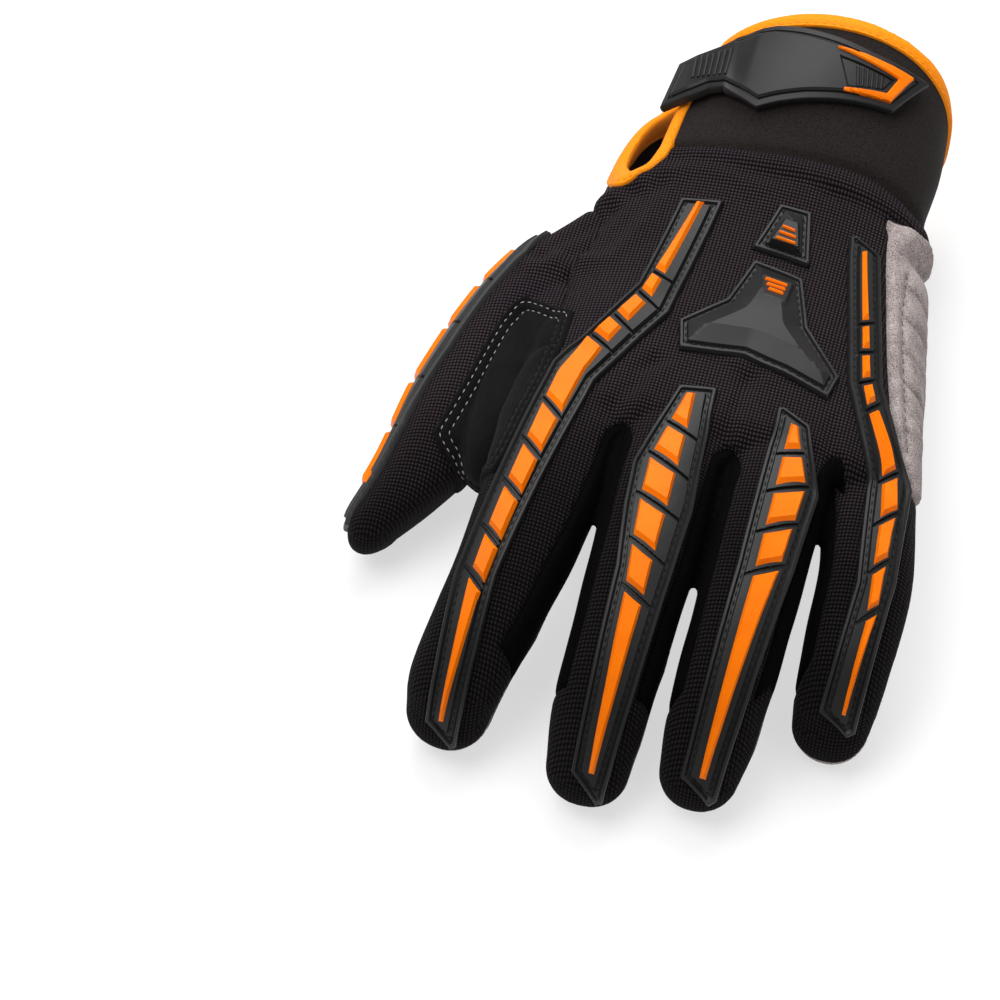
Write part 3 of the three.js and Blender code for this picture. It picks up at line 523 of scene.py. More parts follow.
def sewn(name, sheet, finish, slot, nodes, thickness=FABRIC, swell=0.0):
    """A cloth panel whose edges roll down into its seams."""
    table, faces = sheet
    from_edge = edge_distance(table[:, PLACE], faces)
    roll = np.clip(1 - from_edge / SEAM_REACH, 0, 1) ** 2
    top = table[:, PLACE] + (swell * (1 - roll) - SEAM_DIP * roll)[:, None] * table[:, NORMAL]
    bottom = table[:, PLACE] - (thickness + EDGE_FULLNESS * roll)[:, None] * table[:, NORMAL]
    return shown(name, *closed(top, bottom, faces), finish, slot, nodes), top


# Sewing thread: twisted polyester, sewn by machine. A lockstitch shows as short straight dashes,
# and Geometry Nodes lay one after the other along each seam line. The thread's twist is drawn
# coarser than the real one, which would not show.
TWIST = 0.3
STITCH_LIFT = 0.1


def stitch_tree():
    """Lays stitches of a given length and gap along the edges of a mesh."""
    tree = bpy.data.node_groups.new("lockstitch", "GeometryNodeTree")
    tree.interface.new_socket("Seam", in_out="INPUT", socket_type="NodeSocketGeometry")
    for name, value in (("Stitch length", 0.002), ("Stitch gap", 0.001), ("Thread radius", 0.0002)):
        tree.interface.new_socket(name, in_out="INPUT", socket_type="NodeSocketFloat").default_value = value
    tree.interface.new_socket("Thread", in_out="INPUT", socket_type="NodeSocketMaterial")
    tree.interface.new_socket("Stitches", in_out="OUTPUT", socket_type="NodeSocketGeometry")
    given = add(tree, "NodeGroupInput", {}, {})
    curve = add(tree, "GeometryNodeMeshToCurve", {}, {0: given["Seam"]})[0]
    pitch = add(tree, "ShaderNodeMath", {"operation": "ADD"}, {
        0: given["Stitch length"], 1: given["Stitch gap"],
    })[0]
    marks = add(tree, "GeometryNodeResampleCurve", {"mode": "LENGTH"}, {"Curve": curve, "Length": pitch})[0]
    along = add(tree, "GeometryNodeInputTangent", {}, {})[0]
    turn = add(tree, "FunctionNodeAlignRotationToVector", {"axis": "X"}, {"Vector": along})[0]
    half_length = add(tree, "ShaderNodeMath", {"operation": "MULTIPLY"}, {
        0: given["Stitch length"], 1: 0.5,
    })[0]
    size = add(tree, "ShaderNodeCombineXYZ", {}, {
        "X": half_length, "Y": given["Thread radius"], "Z": given["Thread radius"],
    })[0]
    dash = add(tree, "GeometryNodeMeshUVSphere", {}, {"Segments": 6, "Rings": 4, "Radius": 1.0})[0]
    stitches = add(tree, "GeometryNodeInstanceOnPoints", {}, {
        "Points": marks, "Instance": dash, "Rotation": turn, "Scale": size,
    })[0]
    real = add(tree, "GeometryNodeRealizeInstances", {}, {0: stitches})[0]
    soft = add(tree, "GeometryNodeSetShadeSmooth", {}, {0: real})[0]
    coloured = add(tree, "GeometryNodeSetMaterial", {}, {"Geometry": soft, "Material": given["Thread"]})[0]
    add(tree, "NodeGroupOutput", {}, {0: coloured})
    return tree


LOCKSTITCH = stitch_tree()


def row(points):
    """A row of points as the points and edges of one line."""
    count = np.arange(len(points) - 1)
    return points, np.stack([count, count + 1], 1)


def along_lines(name, lines, tree, settings):
    """A piece that Geometry Nodes make along lines, each its points in millimetres and its edges."""
    starts = np.cumsum([0] + [len(points) for points, _ in lines[:-1]])
    points = np.vstack([points for points, _ in lines])
    edges = np.vstack([ends + start for (_, ends), start in zip(lines, starts)])
    mesh = bpy.data.meshes.new(name)
    mesh.from_pydata((points * MM).tolist(), edges.tolist(), [])
    source = bpy.data.objects.new("lines", mesh)
    SCENE.collection.objects.link(source)
    modifier = source.modifiers.new("along the lines", "NODES")
    modifier.node_group = tree
    sockets = {item.name: item.identifier for item in tree.interface.items_tree if item.in_out == "INPUT"}
    for key, value in settings.items():
        modifier[sockets[key]] = value
    made = bpy.data.meshes.new_from_object(source.evaluated_get(bpy.context.evaluated_depsgraph_get()))
    bpy.data.objects.remove(source)
    made.name = name
    piece = bpy.data.objects.new(name, made)
    SCENE.collection.objects.link(piece)
    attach(piece, "root")
    return piece


def stitched(name, seams, thread, length=2.0, gap=1.0, radius=0.22):
    """Stitches along seams."""
    return along_lines(name, seams, LOCKSTITCH, {
        "Stitch length": length * MM, "Stitch gap": gap * MM, "Thread radius": radius * MM,
        "Thread": thread,
    })


def thread(name, dark, light):
    """A twisted polyester thread, which shines a little."""
    finish, tree, shader = material(name, {"Roughness": 0.55, "Specular IOR Level": 0.3})
    place = add(tree, "ShaderNodeTexCoord", {}, {})["Object"]
    ply = add(tree, "ShaderNodeTexNoise", {}, {"Vector": place, "Scale": 1 / (TWIST * MM)})["Fac"]
    shade = add(tree, "ShaderNodeMix", {"data_type": "RGBA"}, {
        0: ply, 6: linear(dark), 7: linear(light),
    })[2]
    tree.links.new(shade, shader.inputs["Base Color"])
    return finish


pale_thread = thread("pale grey polyester thread", "7C7871", "BEB9B0")
grey_thread = thread("grey polyester thread", "4A4442", "6C6562")
black_thread = thread("black polyester thread", "0B0B0B", "222222")
orange_thread = thread("orange polyester thread", "D97400", "FF9A10")

# The seams between the panels, which are sewn inside out, so that only the dip of the cloth shows.
# They part the palm from the back by their height at the left and right of the hand, and run along
# the middle of each finger's side.
PALM_SEAM = {"y": [-66, -40, 0, 60], "left": [42, 34, 24, 26], "right": [36, 30, 24, 26]}
PALM_SPAN = (-75, 80)
FINGER_SPLITS = {"index": (-75, -30), "middle": (-30, 4.9), "ring": (4.9, 35.4), "little": (35.4, 80)}
THUMB_SEAM = {"y": [-110, -60, -25, 0, 60], "left": [3, 12, 17, 16, 16], "right": [4, 10, 24, 26, 26]}
THUMB_SPAN = (-110, -30)
FINGERS_FROM = (-36, -54)
THUMB_WITHIN = -25
FAR_FROM_THUMB = -9


def seam_sheet(points, seam, span):
    """The height of a seam's sheet over flat points."""
    left = np.interp(points[:, 1], seam["y"], seam["left"])
    right = np.interp(points[:, 1], seam["y"], seam["right"])
    share = (points[:, 0] - span[0]) / (span[1] - span[0])
    return left + (right - left) * share


def finger_middle(name, y):
    """The height of a finger's centre line, running on down past its tip."""
    rows = np.array(FINGERS[name]["rows"])
    return np.interp(y, [rows[-1, 1] - 30, *rows[::-1, 1]], [rows[-1, 2] - 20, *rows[::-1, 2]])


def palm_seam(points):
    """The height of the seam between palm and back over flat points."""
    height = seam_sheet(points, PALM_SEAM, PALM_SPAN)
    share = np.clip((FINGERS_FROM[0] - points[:, 1]) / (FINGERS_FROM[0] - FINGERS_FROM[1]), 0, 1)
    share = share * share * (3 - 2 * share)
    for name, (left, right) in FINGER_SPLITS.items():
        here = (points[:, 0] >= left) & (points[:, 0] < right)
        height[here] += share[here] * (finger_middle(name, points[here, 1]) - height[here])
    return height


to_palm = np.min([nearest(*loft(form), rest) for form in (ARM, FINGERS["index"])], axis=0)
to_thumb = np.min([nearest(*loft(form), rest) for form in (THUMB, WEB)], axis=0)
thumb_side = np.where(rest[:, 0] < THUMB_WITHIN, to_palm - to_thumb, FAR_FROM_THUMB)
whole = (np.hstack([skin_points, skin_normals, rest, thumb_side[:, None]]), triangles)
cuff_cloth, hand_cloth = parted(whole, whole[0][:, REST_Y] - CUFF_SEAM)
thumb_cloth, palm_cloth = parted(hand_cloth, hand_cloth[0][:, THUMB_SIDE])

# The slit that opens the cuff on the thumb side. Its edges, near the back of the hand and far from
# it, are measured up the cuff's side.
SLIT_CENTRE = np.array([-44, 0, 41])
SLIT_FACING = np.array([-0.77, 0, 0.64])
SLIT_UP = np.array([0.64, 0, 0.77])
SLIT_REACH = 26
SLIT = {
    "y": [31.5, 33.5, 38, 45, 55, 75, 110],
    "far": [4.5, 1, -3.2, -4.8, -4, -2.2, 0],
    "near": [7, 9.8, 12.2, 13.6, 16.2, 21.8, 32],
}
SLIT_POINTS = 37
FAR_FROM_SLIT = 99
RIM_CENTRE = np.array([8, 75.5, 38])
RIM_FACING = np.array([0, 0.986, -0.165])


def slit_outline():
    """The slit's outline, rounded at its blind end."""
    share = np.linspace(0, 1, SLIT_POINTS)
    far, near = (through(np.stack([SLIT[key], SLIT["y"]], 1), share) for key in ("far", "near"))
    return np.vstack([far, near[::-1]])


def from_opening(points, slit_share=1):
    """How far points lie from the rim and the slit, into the cloth."""
    offset = points - SLIT_CENTRE
    facing = offset @ SLIT_FACING > -SLIT_REACH
    into_slit = depth_in(np.stack([offset @ SLIT_UP, points[:, 1]], 1), slit_outline())
    to_slit = np.where(facing, -into_slit, FAR_FROM_SLIT)
    return np.minimum(to_slit / slit_share, (RIM_CENTRE - points) @ RIM_FACING)


palm_cloth, _ = parted(palm_cloth, from_opening(palm_cloth[0][:, REST]))
thumb_cloth, _ = parted(thumb_cloth, from_opening(thumb_cloth[0][:, REST]))

# Knitted polyester mesh on the backs of hand, fingers and thumb: dull black yarn in plump rows and
# columns of stitches 1 mm apart, a little coarser than the real ones so that they show, with dark
# pits between them. Towards the fingertips the yarn is painted darker, as painted shade.
STITCH_PITCH = 1.0
STITCH_RELIEF = 0.45
STITCH_FULLNESS = 1.1
# Where the painted shade over the fingers runs, along Y in millimetres.
SHADED_TOWARD_TIPS = (-92, -36)
KNIT_WEAR = {"share": 0.35, "patches": 60.0}
knit, tree, shader = material("knitted polyester mesh", {
    "Roughness": 0.8, "Specular IOR Level": 0.05, "Sheen Weight": 0.01, "Sheen Roughness": 0.4,
})
weave = add(tree, "ShaderNodeUVMap", {"uv_map": "weave"}, {})["UV"]
parts = add(tree, "ShaderNodeSeparateXYZ", {}, {0: weave})
rows_of_stitches = []
for axis in ("X", "Y"):
    turns = add(tree, "ShaderNodeMath", {"operation": "MULTIPLY"}, {
        0: parts[axis], 1: math.pi / STITCH_PITCH,
    })[0]
    wave = add(tree, "ShaderNodeMath", {"operation": "SINE"}, {0: turns})[0]
    rows_of_stitches.append(add(tree, "ShaderNodeMath", {"operation": "ABSOLUTE"}, {0: wave})[0])
bumps = add(tree, "ShaderNodeMath", {"operation": "MULTIPLY"}, {
    0: rows_of_stitches[0], 1: rows_of_stitches[1],
})[0]
plump = add(tree, "ShaderNodeMath", {"operation": "POWER"}, {0: bumps, 1: STITCH_FULLNESS})[0]
place = add(tree, "ShaderNodeTexCoord", {}, {})["Object"]
along = add(tree, "ShaderNodeSeparateXYZ", {}, {0: place})["Y"]
# Painted shade: the yarn's colour darkens along -Y over the fingers, towards their tips.
painted_finger_shade = add(tree, "ShaderNodeMapRange", {"interpolation_type": "SMOOTHSTEP"}, {
    "Value": along, "From Min": SHADED_TOWARD_TIPS[0] * MM, "From Max": SHADED_TOWARD_TIPS[1] * MM,
})[0]
yarn = add(tree, "ShaderNodeMix", {"data_type": "RGBA"}, {
    0: painted_finger_shade, 6: linear("2B2628"), 7: linear("483F44"),
})[2]
shade = add(tree, "ShaderNodeMix", {"data_type": "RGBA"}, {0: plump, 6: linear("030202"), 7: yarn})[2]
wear = add(tree, "ShaderNodeTexNoise", {}, {
    "Vector": place, "Scale": KNIT_WEAR["patches"], "Detail": 3.0,
})["Fac"]
worn = add(tree, "ShaderNodeMix", {"data_type": "RGBA"}, {
    0: wear, 6: linear("8A8A8A"), 7: linear("FFFFFF"),
})[2]
shade = add(tree, "ShaderNodeMix", {"data_type": "RGBA", "blend_type": "MULTIPLY"}, {
    0: KNIT_WEAR["share"], 6: shade, 7: worn,
})[2]
tree.links.new(shade, shader.inputs["Base Color"])
relief = add(tree, "ShaderNodeBump", {}, {
    "Strength": 1.0, "Distance": STITCH_RELIEF * MM, "Height": plump,
})[0]
tree.links.new(relief, shader.inputs["Normal"])

# Synthetic suede of the palm and the side of the hand: grey microfibre with a short brushed nap,
# mottled where the nap lies one way or the other. The real fibres are far too fine to show, so the
# nap is drawn coarser.
NAP = 0.35
NAP_DEPTH = 0.15
MOTTLE = 6
MOTTLE_SHARE = 0.4


def suede(name, dark, light, sheen):
    """A brushed microfibre suede."""
    finish, tree, shader = material(name, {
        "Roughness": 0.95, "Specular IOR Level": 0.1, "Sheen Weight": sheen, "Sheen Roughness": 0.5,
    })
    place = add(tree, "ShaderNodeTexCoord", {}, {})["Object"]
    nap = add(tree, "ShaderNodeTexNoise", {}, {
        "Vector": place, "Scale": 1 / (NAP * MM), "Detail": 2.0,
    })["Fac"]
    mottle = add(tree, "ShaderNodeTexNoise", {}, {
        "Vector": place, "Scale": 1 / (MOTTLE * MM), "Detail": 5.0,
    })["Fac"]
    slow = add(tree, "ShaderNodeMath", {"operation": "MULTIPLY"}, {0: mottle, 1: MOTTLE_SHARE})[0]
    mixed = add(tree, "ShaderNodeMath", {"operation": "ADD"}, {0: nap, 1: slow})[0]
    share = add(tree, "ShaderNodeMapRange", {}, {"Value": mixed, "From Min": 0.5, "From Max": 0.9})[0]
    shade = add(tree, "ShaderNodeMix", {"data_type": "RGBA"}, {
        0: share, 6: linear(dark), 7: linear(light),
    })[2]
    tree.links.new(shade, shader.inputs["Base Color"])
    relief = add(tree, "ShaderNodeBump", {}, {
        "Strength": 0.6, "Distance": NAP_DEPTH * MM, "Height": nap,
    })[0]
    tree.links.new(relief, shader.inputs["Normal"])
    return finish


grey_suede = suede("grey microfibre suede", "5C5251", "BDB1AE", 0.06)
black_suede = suede("black microfibre suede", "060606", "151414", 0.02)

# Neoprene under smooth black jersey: the cuff, faded a little, and the strips between the fingers.
# The jersey's loops are drawn coarser than the real ones, which would not show.
JERSEY = 0.45
JERSEY_DEPTH = 0.12


def jersey(name, dark, light, gloss):
    """Neoprene faced with fine jersey."""
    finish, tree, shader = material(name, {
        "Roughness": 0.9, "Specular IOR Level": gloss, "Sheen Weight": gloss / 4, "Sheen Roughness": 0.5,
    })
    place = add(tree, "ShaderNodeTexCoord", {}, {})["Object"]
    loops = add(tree, "ShaderNodeTexVoronoi", {}, {"Vector": place, "Scale": 1 / (JERSEY * MM)})["Distance"]
    shade = add(tree, "ShaderNodeMix", {"data_type": "RGBA"}, {
        0: loops, 6: linear(light), 7: linear(dark),
    })[2]
    tree.links.new(shade, shader.inputs["Base Color"])
    relief = add(tree, "ShaderNodeBump", {"invert": True}, {
        "Strength": 0.5, "Distance": JERSEY_DEPTH * MM, "Height": loops,
    })[0]
    tree.links.new(relief, shader.inputs["Normal"])
    return finish


neoprene = jersey("jersey-faced neoprene", "181413", "302B29", 0.1)
# The strips between the fingers take a darker copy of the neoprene's colours: painted shade for the shadow
# between the fingers.
shaded_gusset = jersey("thin jersey-faced neoprene", "050505", "0E0D0D", 0.01)

# The strips between the fingers: thin jersey-faced neoprene, darkened as painted shade, sewn in
# from the top of each gap down both its sides, so that the fingers can spread.
FOURCHETTE_EDGE = 0.78
ARCH = (3.6, 7)
FOURCHETTES = [
    {"left": "index", "right": "middle", "top": (-23.2, -58.5), "ends": (-125, -130)},
    {"left": "middle", "right": "ring", "top": (7, -59.5), "ends": (-130, -124)},
    {"left": "ring", "right": "little", "top": (35.6, -55), "ends": (-124, -104)},
]


def finger_side(name, side, end):
    """The plan line down one side of a finger where its sheet meets the strip beside it."""
    rows = np.array(FINGERS[name]["rows"])
    y = np.linspace(rows[1, 1], end, 16)
    x = np.interp(y, rows[::-1, 1], (rows[:, 0] + side * FOURCHETTE_EDGE * rows[:, 3] / 2)[::-1])
    return np.stack([x, y], 1)


turn = np.linspace(0, np.pi, 9)
for strip in FOURCHETTES:
    arch = strip["top"] + np.stack([ARCH[0] * np.cos(turn), ARCH[1] * (np.sin(turn) - 1)], 1)
    outline = np.vstack([
        arch, finger_side(strip["left"], 1, strip["ends"][0]),
        finger_side(strip["right"], -1, strip["ends"][1])[::-1],
    ])
    piece, palm_cloth = parted(palm_cloth, depth_in(palm_cloth[0][:, PLAN], outline))
    name = f"fourchette_{strip['left']}_{strip['right']}"
    sewn(name, piece, shaded_gusset, "neoprene", [name])

# Palm, back and the side panel, sewn together edge to edge. The side panel is wadded and quilted:
# a line of stitches runs down it, and short creases run from that line round to the palm.
SIDE_PANEL = [
    (33, 33), (36.2, 14.3), (42.8, -17.8), (46.6, -33), (52.2, -47.5), (57.4, -55), (75, -55), (75, 33),
]
QUILT_SWELL = 1.3
QUILT_FURROWS = (0.6, 1.2)
QUILT_DIP = {"depth": 0.8, "width": 0.9}
CREASE_DIP = {"depth": 0.9, "width": 0.8}
CREASE_BANK = {"rise": 0.25, "at": 3, "width": 2}
CREASE_FADE = 1.5
CREASE_SHARE = 0.6
QUILT_LINE = [(41, 17), (42.4, 2.6), (44.7, -9.2), (47.2, -20.5), (49.7, -31.8), (52.8, -44)]
QUILT_CREASES = [13.9, 2.2, -9.8, -21.3, -31.8]
CREASE_TOP = 49
CREASE_RUN = (-3, -21)

over_seam = palm_cloth[0][:, REST_Z] - palm_seam(palm_cloth[0][:, PLAN])
upper, palm_sheet = parted(palm_cloth, over_seam)
side_cloth, back_cloth = parted(upper, depth_in(upper[0][:, PLAN], SIDE_PANEL))
sewn("back_panel", back_cloth, knit, "knit", ["back_panel"])
sewn("palm_panel", palm_sheet, grey_suede, "grey_suede", ["palm_panel"])


def from_crease(sheet_table, y):
    """The distance of a sheet's points from the crease that starts at y."""
    end = (y + CREASE_RUN[0], CREASE_TOP + CREASE_RUN[1])
    return segment_distance(sheet_table[:, REST_Y:REST_Z + 1], (y, CREASE_TOP), end)


line_x, line_y = np.array(QUILT_LINE[::-1]).T
for value in QUILT_FURROWS:
    table, faces, _ = scored(*side_cloth, path_distance(side_cloth[0][:, PLAN], QUILT_LINE) - value)
    for y in QUILT_CREASES:
        table, faces, _ = scored(table, faces, from_crease(table, y) - CREASE_SHARE * value)
    side_cloth = table, faces
table, faces = side_cloth
from_line = path_distance(table[:, PLAN], QUILT_LINE)
swell = np.full(len(table), QUILT_SWELL) - QUILT_DIP["depth"] * furrow(from_line, QUILT_DIP["width"])
past_line = table[:, REST_X] - np.interp(table[:, REST_Y], line_y, line_x)
outer = np.clip(past_line / CREASE_FADE, 0, 1)
for y in QUILT_CREASES:
    away = from_crease(table, y)
    bank = CREASE_BANK["rise"] * furrow(away - CREASE_BANK["at"], CREASE_BANK["width"])
    swell -= outer * (CREASE_DIP["depth"] * furrow(away, CREASE_DIP["width"]) - bank)
side_panel, top = sewn("side_panel", side_cloth, grey_suede, "grey_suede", ["side_panel"], swell=swell)
heights = table[faces, REST_Y]
inside = np.all((heights < QUILT_LINE[0][1]) & (heights > QUILT_LINE[-1][1]), axis=1)
quilting = contour(top + STITCH_LIFT * table[:, NORMAL], faces[inside], past_line)
stitched("side_stitches", [quilting], grey_thread, length=1.9, gap=1.4, radius=0.18)

# The thumb: a knitted back and a palm side of grey suede, sewn together along its sides and to the
# hand round its root.
over_seam = thumb_cloth[0][:, REST_Z] - seam_sheet(thumb_cloth[0][:, PLAN], THUMB_SEAM, THUMB_SPAN)
upper, lower = parted(thumb_cloth, over_seam)
sewn("thumb_back", upper, knit, "knit", ["thumb_back"])
sewn("thumb_palm", lower, grey_suede, "grey_suede", ["thumb_palm"])

# The cuff: a neoprene tube, cut at the rim and slit on the thumb side. Its wall is drawn a little
# thinner than the neoprene, so that the tape covers its edge.
NEOPRENE_WALL = 2.2
CUFF_TUCK = 0.3
cuff, _ = parted(cuff_cloth, from_opening(cuff_cloth[0][:, REST]))
sewn("cuff", cuff, neoprene, "neoprene", ["cuff"], thickness=NEOPRENE_WALL - CUFF_TUCK)

# Orange woven polyester tape, folded over the rim and the slit's edge and stitched down, plump as a
# roll. It is wider on the slit's far side. Its twill is drawn coarser than the real one.
TAPE_WIDTH = 3.2
SLIT_TAPE = {"far": 5.2, "near": 2.8}
SLIT_TURN = 4
TAPE_PAST = 15
TAPE = 1
TAPE_NOSE = 1.5
TAPE_SEAM = 2.1
TAPE_EDGE = 0.35
TAPE_HEM = 0.6
TAPE_ROWS = (-1.3, -1.0, -0.5, 0.2, 1.0, TAPE_SEAM, TAPE_WIDTH - 0.4, TAPE_WIDTH - 0.15)
TAPE_DIP = {"depth": 0.14, "width": 0.45}
TAPE_STITCH = {"lift": 0.05, "past": 0.01}
TWILL = 0.5
TWILL_DEPTH = 0.08
FROM_OPENING = 10
tape, tree, shader = material("woven polyester tape", {"Roughness": 0.7, "Specular IOR Level": 0.2})
place = add(tree, "ShaderNodeTexCoord", {}, {})["Object"]
twill = add(tree, "ShaderNodeTexVoronoi", {}, {"Vector": place, "Scale": 1 / (TWILL * MM)})["Distance"]
shade = add(tree, "ShaderNodeMix", {"data_type": "RGBA"}, {
    0: twill, 6: linear("FF9A0A"), 7: linear("F48200"),
})[2]
tree.links.new(shade, shader.inputs["Base Color"])
relief = add(tree, "ShaderNodeBump", {"invert": True}, {
    "Strength": 0.4, "Distance": TWILL_DEPTH * MM, "Height": twill,
})[0]
tree.links.new(relief, shader.inputs["Normal"])

past_palm, _ = parted(whole, whole[0][:, REST_Y] - TAPE_PAST)
bare = past_palm[0][:, REST]
slit_middle = (np.array(SLIT["far"]) + SLIT["near"]) / 2
past_middle = (bare - SLIT_CENTRE) @ SLIT_UP - np.interp(bare[:, 1], SLIT["y"], slit_middle)
tape_here = np.interp(past_middle, [-SLIT_TURN, SLIT_TURN], [SLIT_TAPE["far"], SLIT_TAPE["near"]])
level = from_opening(bare, tape_here / TAPE_WIDTH)
sheet, _ = parted((np.hstack([past_palm[0], level[:, None]]), past_palm[1]), level + TAPE_NOSE)
(table, faces), _ = parted(sheet, TAPE_WIDTH - sheet[0][:, FROM_OPENING])
for line in TAPE_ROWS:
    table, faces, _ = scored(table, faces, table[:, FROM_OPENING] - line)
nose = np.clip((table[:, FROM_OPENING] + TAPE_NOSE) / (2 * TAPE_NOSE), 0, 1)
hem = np.clip((TAPE_WIDTH - table[:, FROM_OPENING]) / TAPE_HEM, 0, 1)
plumpness = np.sqrt(1 - (1 - nose) ** 2)
plumpness *= TAPE_EDGE + (1 - TAPE_EDGE) * np.sqrt(1 - (1 - hem) ** 2)
plumpness -= TAPE_DIP["depth"] * furrow(table[:, FROM_OPENING] - TAPE_SEAM, TAPE_DIP["width"])
middle = -NEOPRENE_WALL / 2
reach = (NEOPRENE_WALL / 2 + TAPE) * plumpness
top = table[:, PLACE] + (middle + reach)[:, None] * table[:, NORMAL]
bottom = table[:, PLACE] + (middle - reach)[:, None] * table[:, NORMAL]
shown("cuff_binding", *closed(top, bottom, faces), tape, "orange_binding", ["cuff_binding"])
past_seam = table[:, FROM_OPENING] - TAPE_SEAM - TAPE_STITCH["past"]
seam = contour(top + TAPE_STITCH["lift"] * table[:, NORMAL], faces, past_seam)
stitched("binding_stitches", [seam], orange_thread, length=1.8, gap=0.8, radius=0.2)

# Moulded pieces are drawn on a flat face and laid over the skin along that face's normal. Where the
# skin bends away, as over a fingertip, the drawing is unrolled along the piece's centre line first.
# The stiff pieces press the cloth even, so they lie on a smoother skin.
CAST_FROM = 90
ROLL_STEP = 0.25
PRESSED = 36
SHARPEST_CORNER = 0.4


def surface(points, faces):
    """A surface that pieces can be laid on."""
    mesh_tree = BVHTree.FromPolygons(points.tolist(), faces.tolist())
    return SimpleNamespace(points=points, faces=faces, normals=normals_of(points, faces), tree=mesh_tree)


def surface_of(piece):
    """The surface of a finished piece."""
    points = np.empty(len(piece.data.vertices) * 3, np.float32)
    piece.data.vertices.foreach_get("co", points)
    faces = np.empty(len(piece.data.polygons) * 3, np.int32)
    piece.data.polygons.foreach_get("vertices", faces)
    return surface(points.reshape(-1, 3).astype(float) / MM, faces.reshape(-1, 3).astype(int))


SKIN = surface(relaxed(skin_points, triangles, PRESSED, 0.5), triangles)


def flat_face(origin, u, v, onto=SKIN):
    """A drawing plane and the surface that lies behind it. Its normal is u x v."""
    u, v = np.array(u, float), np.array(v, float)
    return SimpleNamespace(origin=np.array(origin, float), u=u, v=v, normal=np.cross(u, v), onto=onto)


def above(onto):
    """The plan, over a surface."""
    return flat_face((0, 0, 0), (1, 0, 0), (0, 1, 0), onto)


def below(onto):
    """The plan seen from below, under a surface. Its v runs to -Y."""
    return flat_face((0, 0, 0), (1, 0, 0), (0, -1, 0), onto)


ABOVE = above(SKIN)


def landed(face, flat):
    """Where the points of a drawing meet its surface, with its normals. A miss is not a number."""
    starts = face.origin + flat[:, :1] * face.u + flat[:, 1:2] * face.v + CAST_FROM * face.normal
    places = np.full((len(flat), 3), np.nan)
    struck = np.zeros(len(flat), int)
    toward = Vector(-face.normal)
    for k, start in enumerate(starts.tolist()):
        place, _, index, _ = face.onto.tree.ray_cast(start, toward)
        if index is not None:
            places[k] = place
            struck[k] = index
    corners = face.onto.faces[struck]
    a, b, c = (face.onto.points[corners[:, k]] for k in range(3))
    whole_area = np.linalg.norm(np.cross(b - a, c - a), axis=1)
    weights = np.stack([
        np.linalg.norm(np.cross(p - places, q - places), axis=1) / whole_area
        for p, q in ((b, c), (c, a), (a, b))
    ], 1)
    return places, unit((weights[..., None] * face.onto.normals[corners]).sum(axis=1))


def unrolled(face, line, least=None):
    """How far a centre line has run over the skin against v. Least is the height where it ends."""
    line = line[np.argsort(line[:, 1])]
    v = np.arange(line[0, 1], line[-1, 1], ROLL_STEP)
    places, _ = landed(face, np.stack([np.interp(v, line[:, 1], line[:, 0]), v], 1))
    reached = ~np.isnan(places[:, 0])
    v, places = v[reached], places[reached]
    run = np.append(0, np.cumsum(np.linalg.norm(np.diff(places, axis=0), axis=1)))
    over = np.ones(len(v), bool) if least is None else places[:, 2] > least(places[:, 1])
    return SimpleNamespace(v=v, run=run, first=run[over][0], last=run[over][-1])


def rolled(flat, roll):
    """Flat points with v turned into the run along the centre line."""
    flat = np.array(flat, float)
    return flat if roll is None else np.stack([flat[:, 0], np.interp(flat[:, 1], roll.v, roll.run)], 1)


def on_skin(face, flat, roll=None):
    """Places and normals of the points of a drawing that may be unrolled."""
    if roll is not None:
        flat = np.stack([flat[:, 0], np.interp(flat[:, 1], roll.run, roll.v)], 1)
    return landed(face, flat)


def grid_over(outline, spacing):
    """A grid of triangles that covers an outline, with its points' depth inside it."""
    low, high = np.min(outline, axis=0) - spacing, np.max(outline, axis=0) + spacing
    across, along = (np.ceil((high - low) / spacing).astype(int) + 1)
    u, v = np.meshgrid(np.linspace(low[0], high[0], across), np.linspace(low[1], high[1], along))
    points = np.stack([u.ravel(), v.ravel()], 1)
    corner = (np.arange(along - 1)[:, None] * across + np.arange(across - 1)).ravel()
    turned = ((np.arange(along - 1)[:, None] + np.arange(across - 1)) % 2).ravel().astype(bool)
    a, b, c, d = corner, corner + 1, corner + across + 1, corner + across
    faces = np.vstack([
        np.stack([a, b, c], 1)[turned], np.stack([a, c, d], 1)[turned],
        np.stack([a, b, d], 1)[~turned], np.stack([b, c, d], 1)[~turned],
    ])
    return np.hstack([points, depth_in(points, outline)[:, None]]), faces


def laid(outline, face, spacing, lines=(), roll=None, scores=()):
    """A sheet laid on a surface inside an outline, creased along lines of equal depth. Each of the
    scores is a measure of its points and the values where it is creased. With a roll the outline is
    in unrolled lengths."""
    table, faces = grid_over(outline, spacing)
    if roll is not None:
        table[:, 2] = np.minimum(table[:, 2], np.minimum(table[:, 1] - roll.first, roll.last - table[:, 1]))
    (table, faces), _ = parted((table, faces), table[:, 2])
    for line in lines:
        table, faces, _ = scored(table, faces, table[:, 2] - line)
    for measure, values in scores:
        for value in values:
            table, faces, _ = scored(table, faces, measure(table[:, :2]) - value)
    places, normals = on_skin(face, table[:, :2], roll)
    met = ~np.isnan(places[:, 0])
    table, faces = trimmed(np.hstack([table, places, normals]), faces[met[faces].all(axis=1)])
    return SimpleNamespace(
        flat=table[:, :2], depth=table[:, 2], place=table[:, 3:6], normal=table[:, 6:9], faces=faces,
    )


def raised(name, sheet, height, finish, slot, nodes, sunk=1.0, crease=25):
    """A closed piece that stands height above the skin and is sunk a little into it."""
    top = sheet.place + height[:, None] * sheet.normal
    bottom = sheet.place - sunk * sheet.normal
    return shown(name, *closed(top, bottom, sheet.faces), finish, slot, nodes, crease)


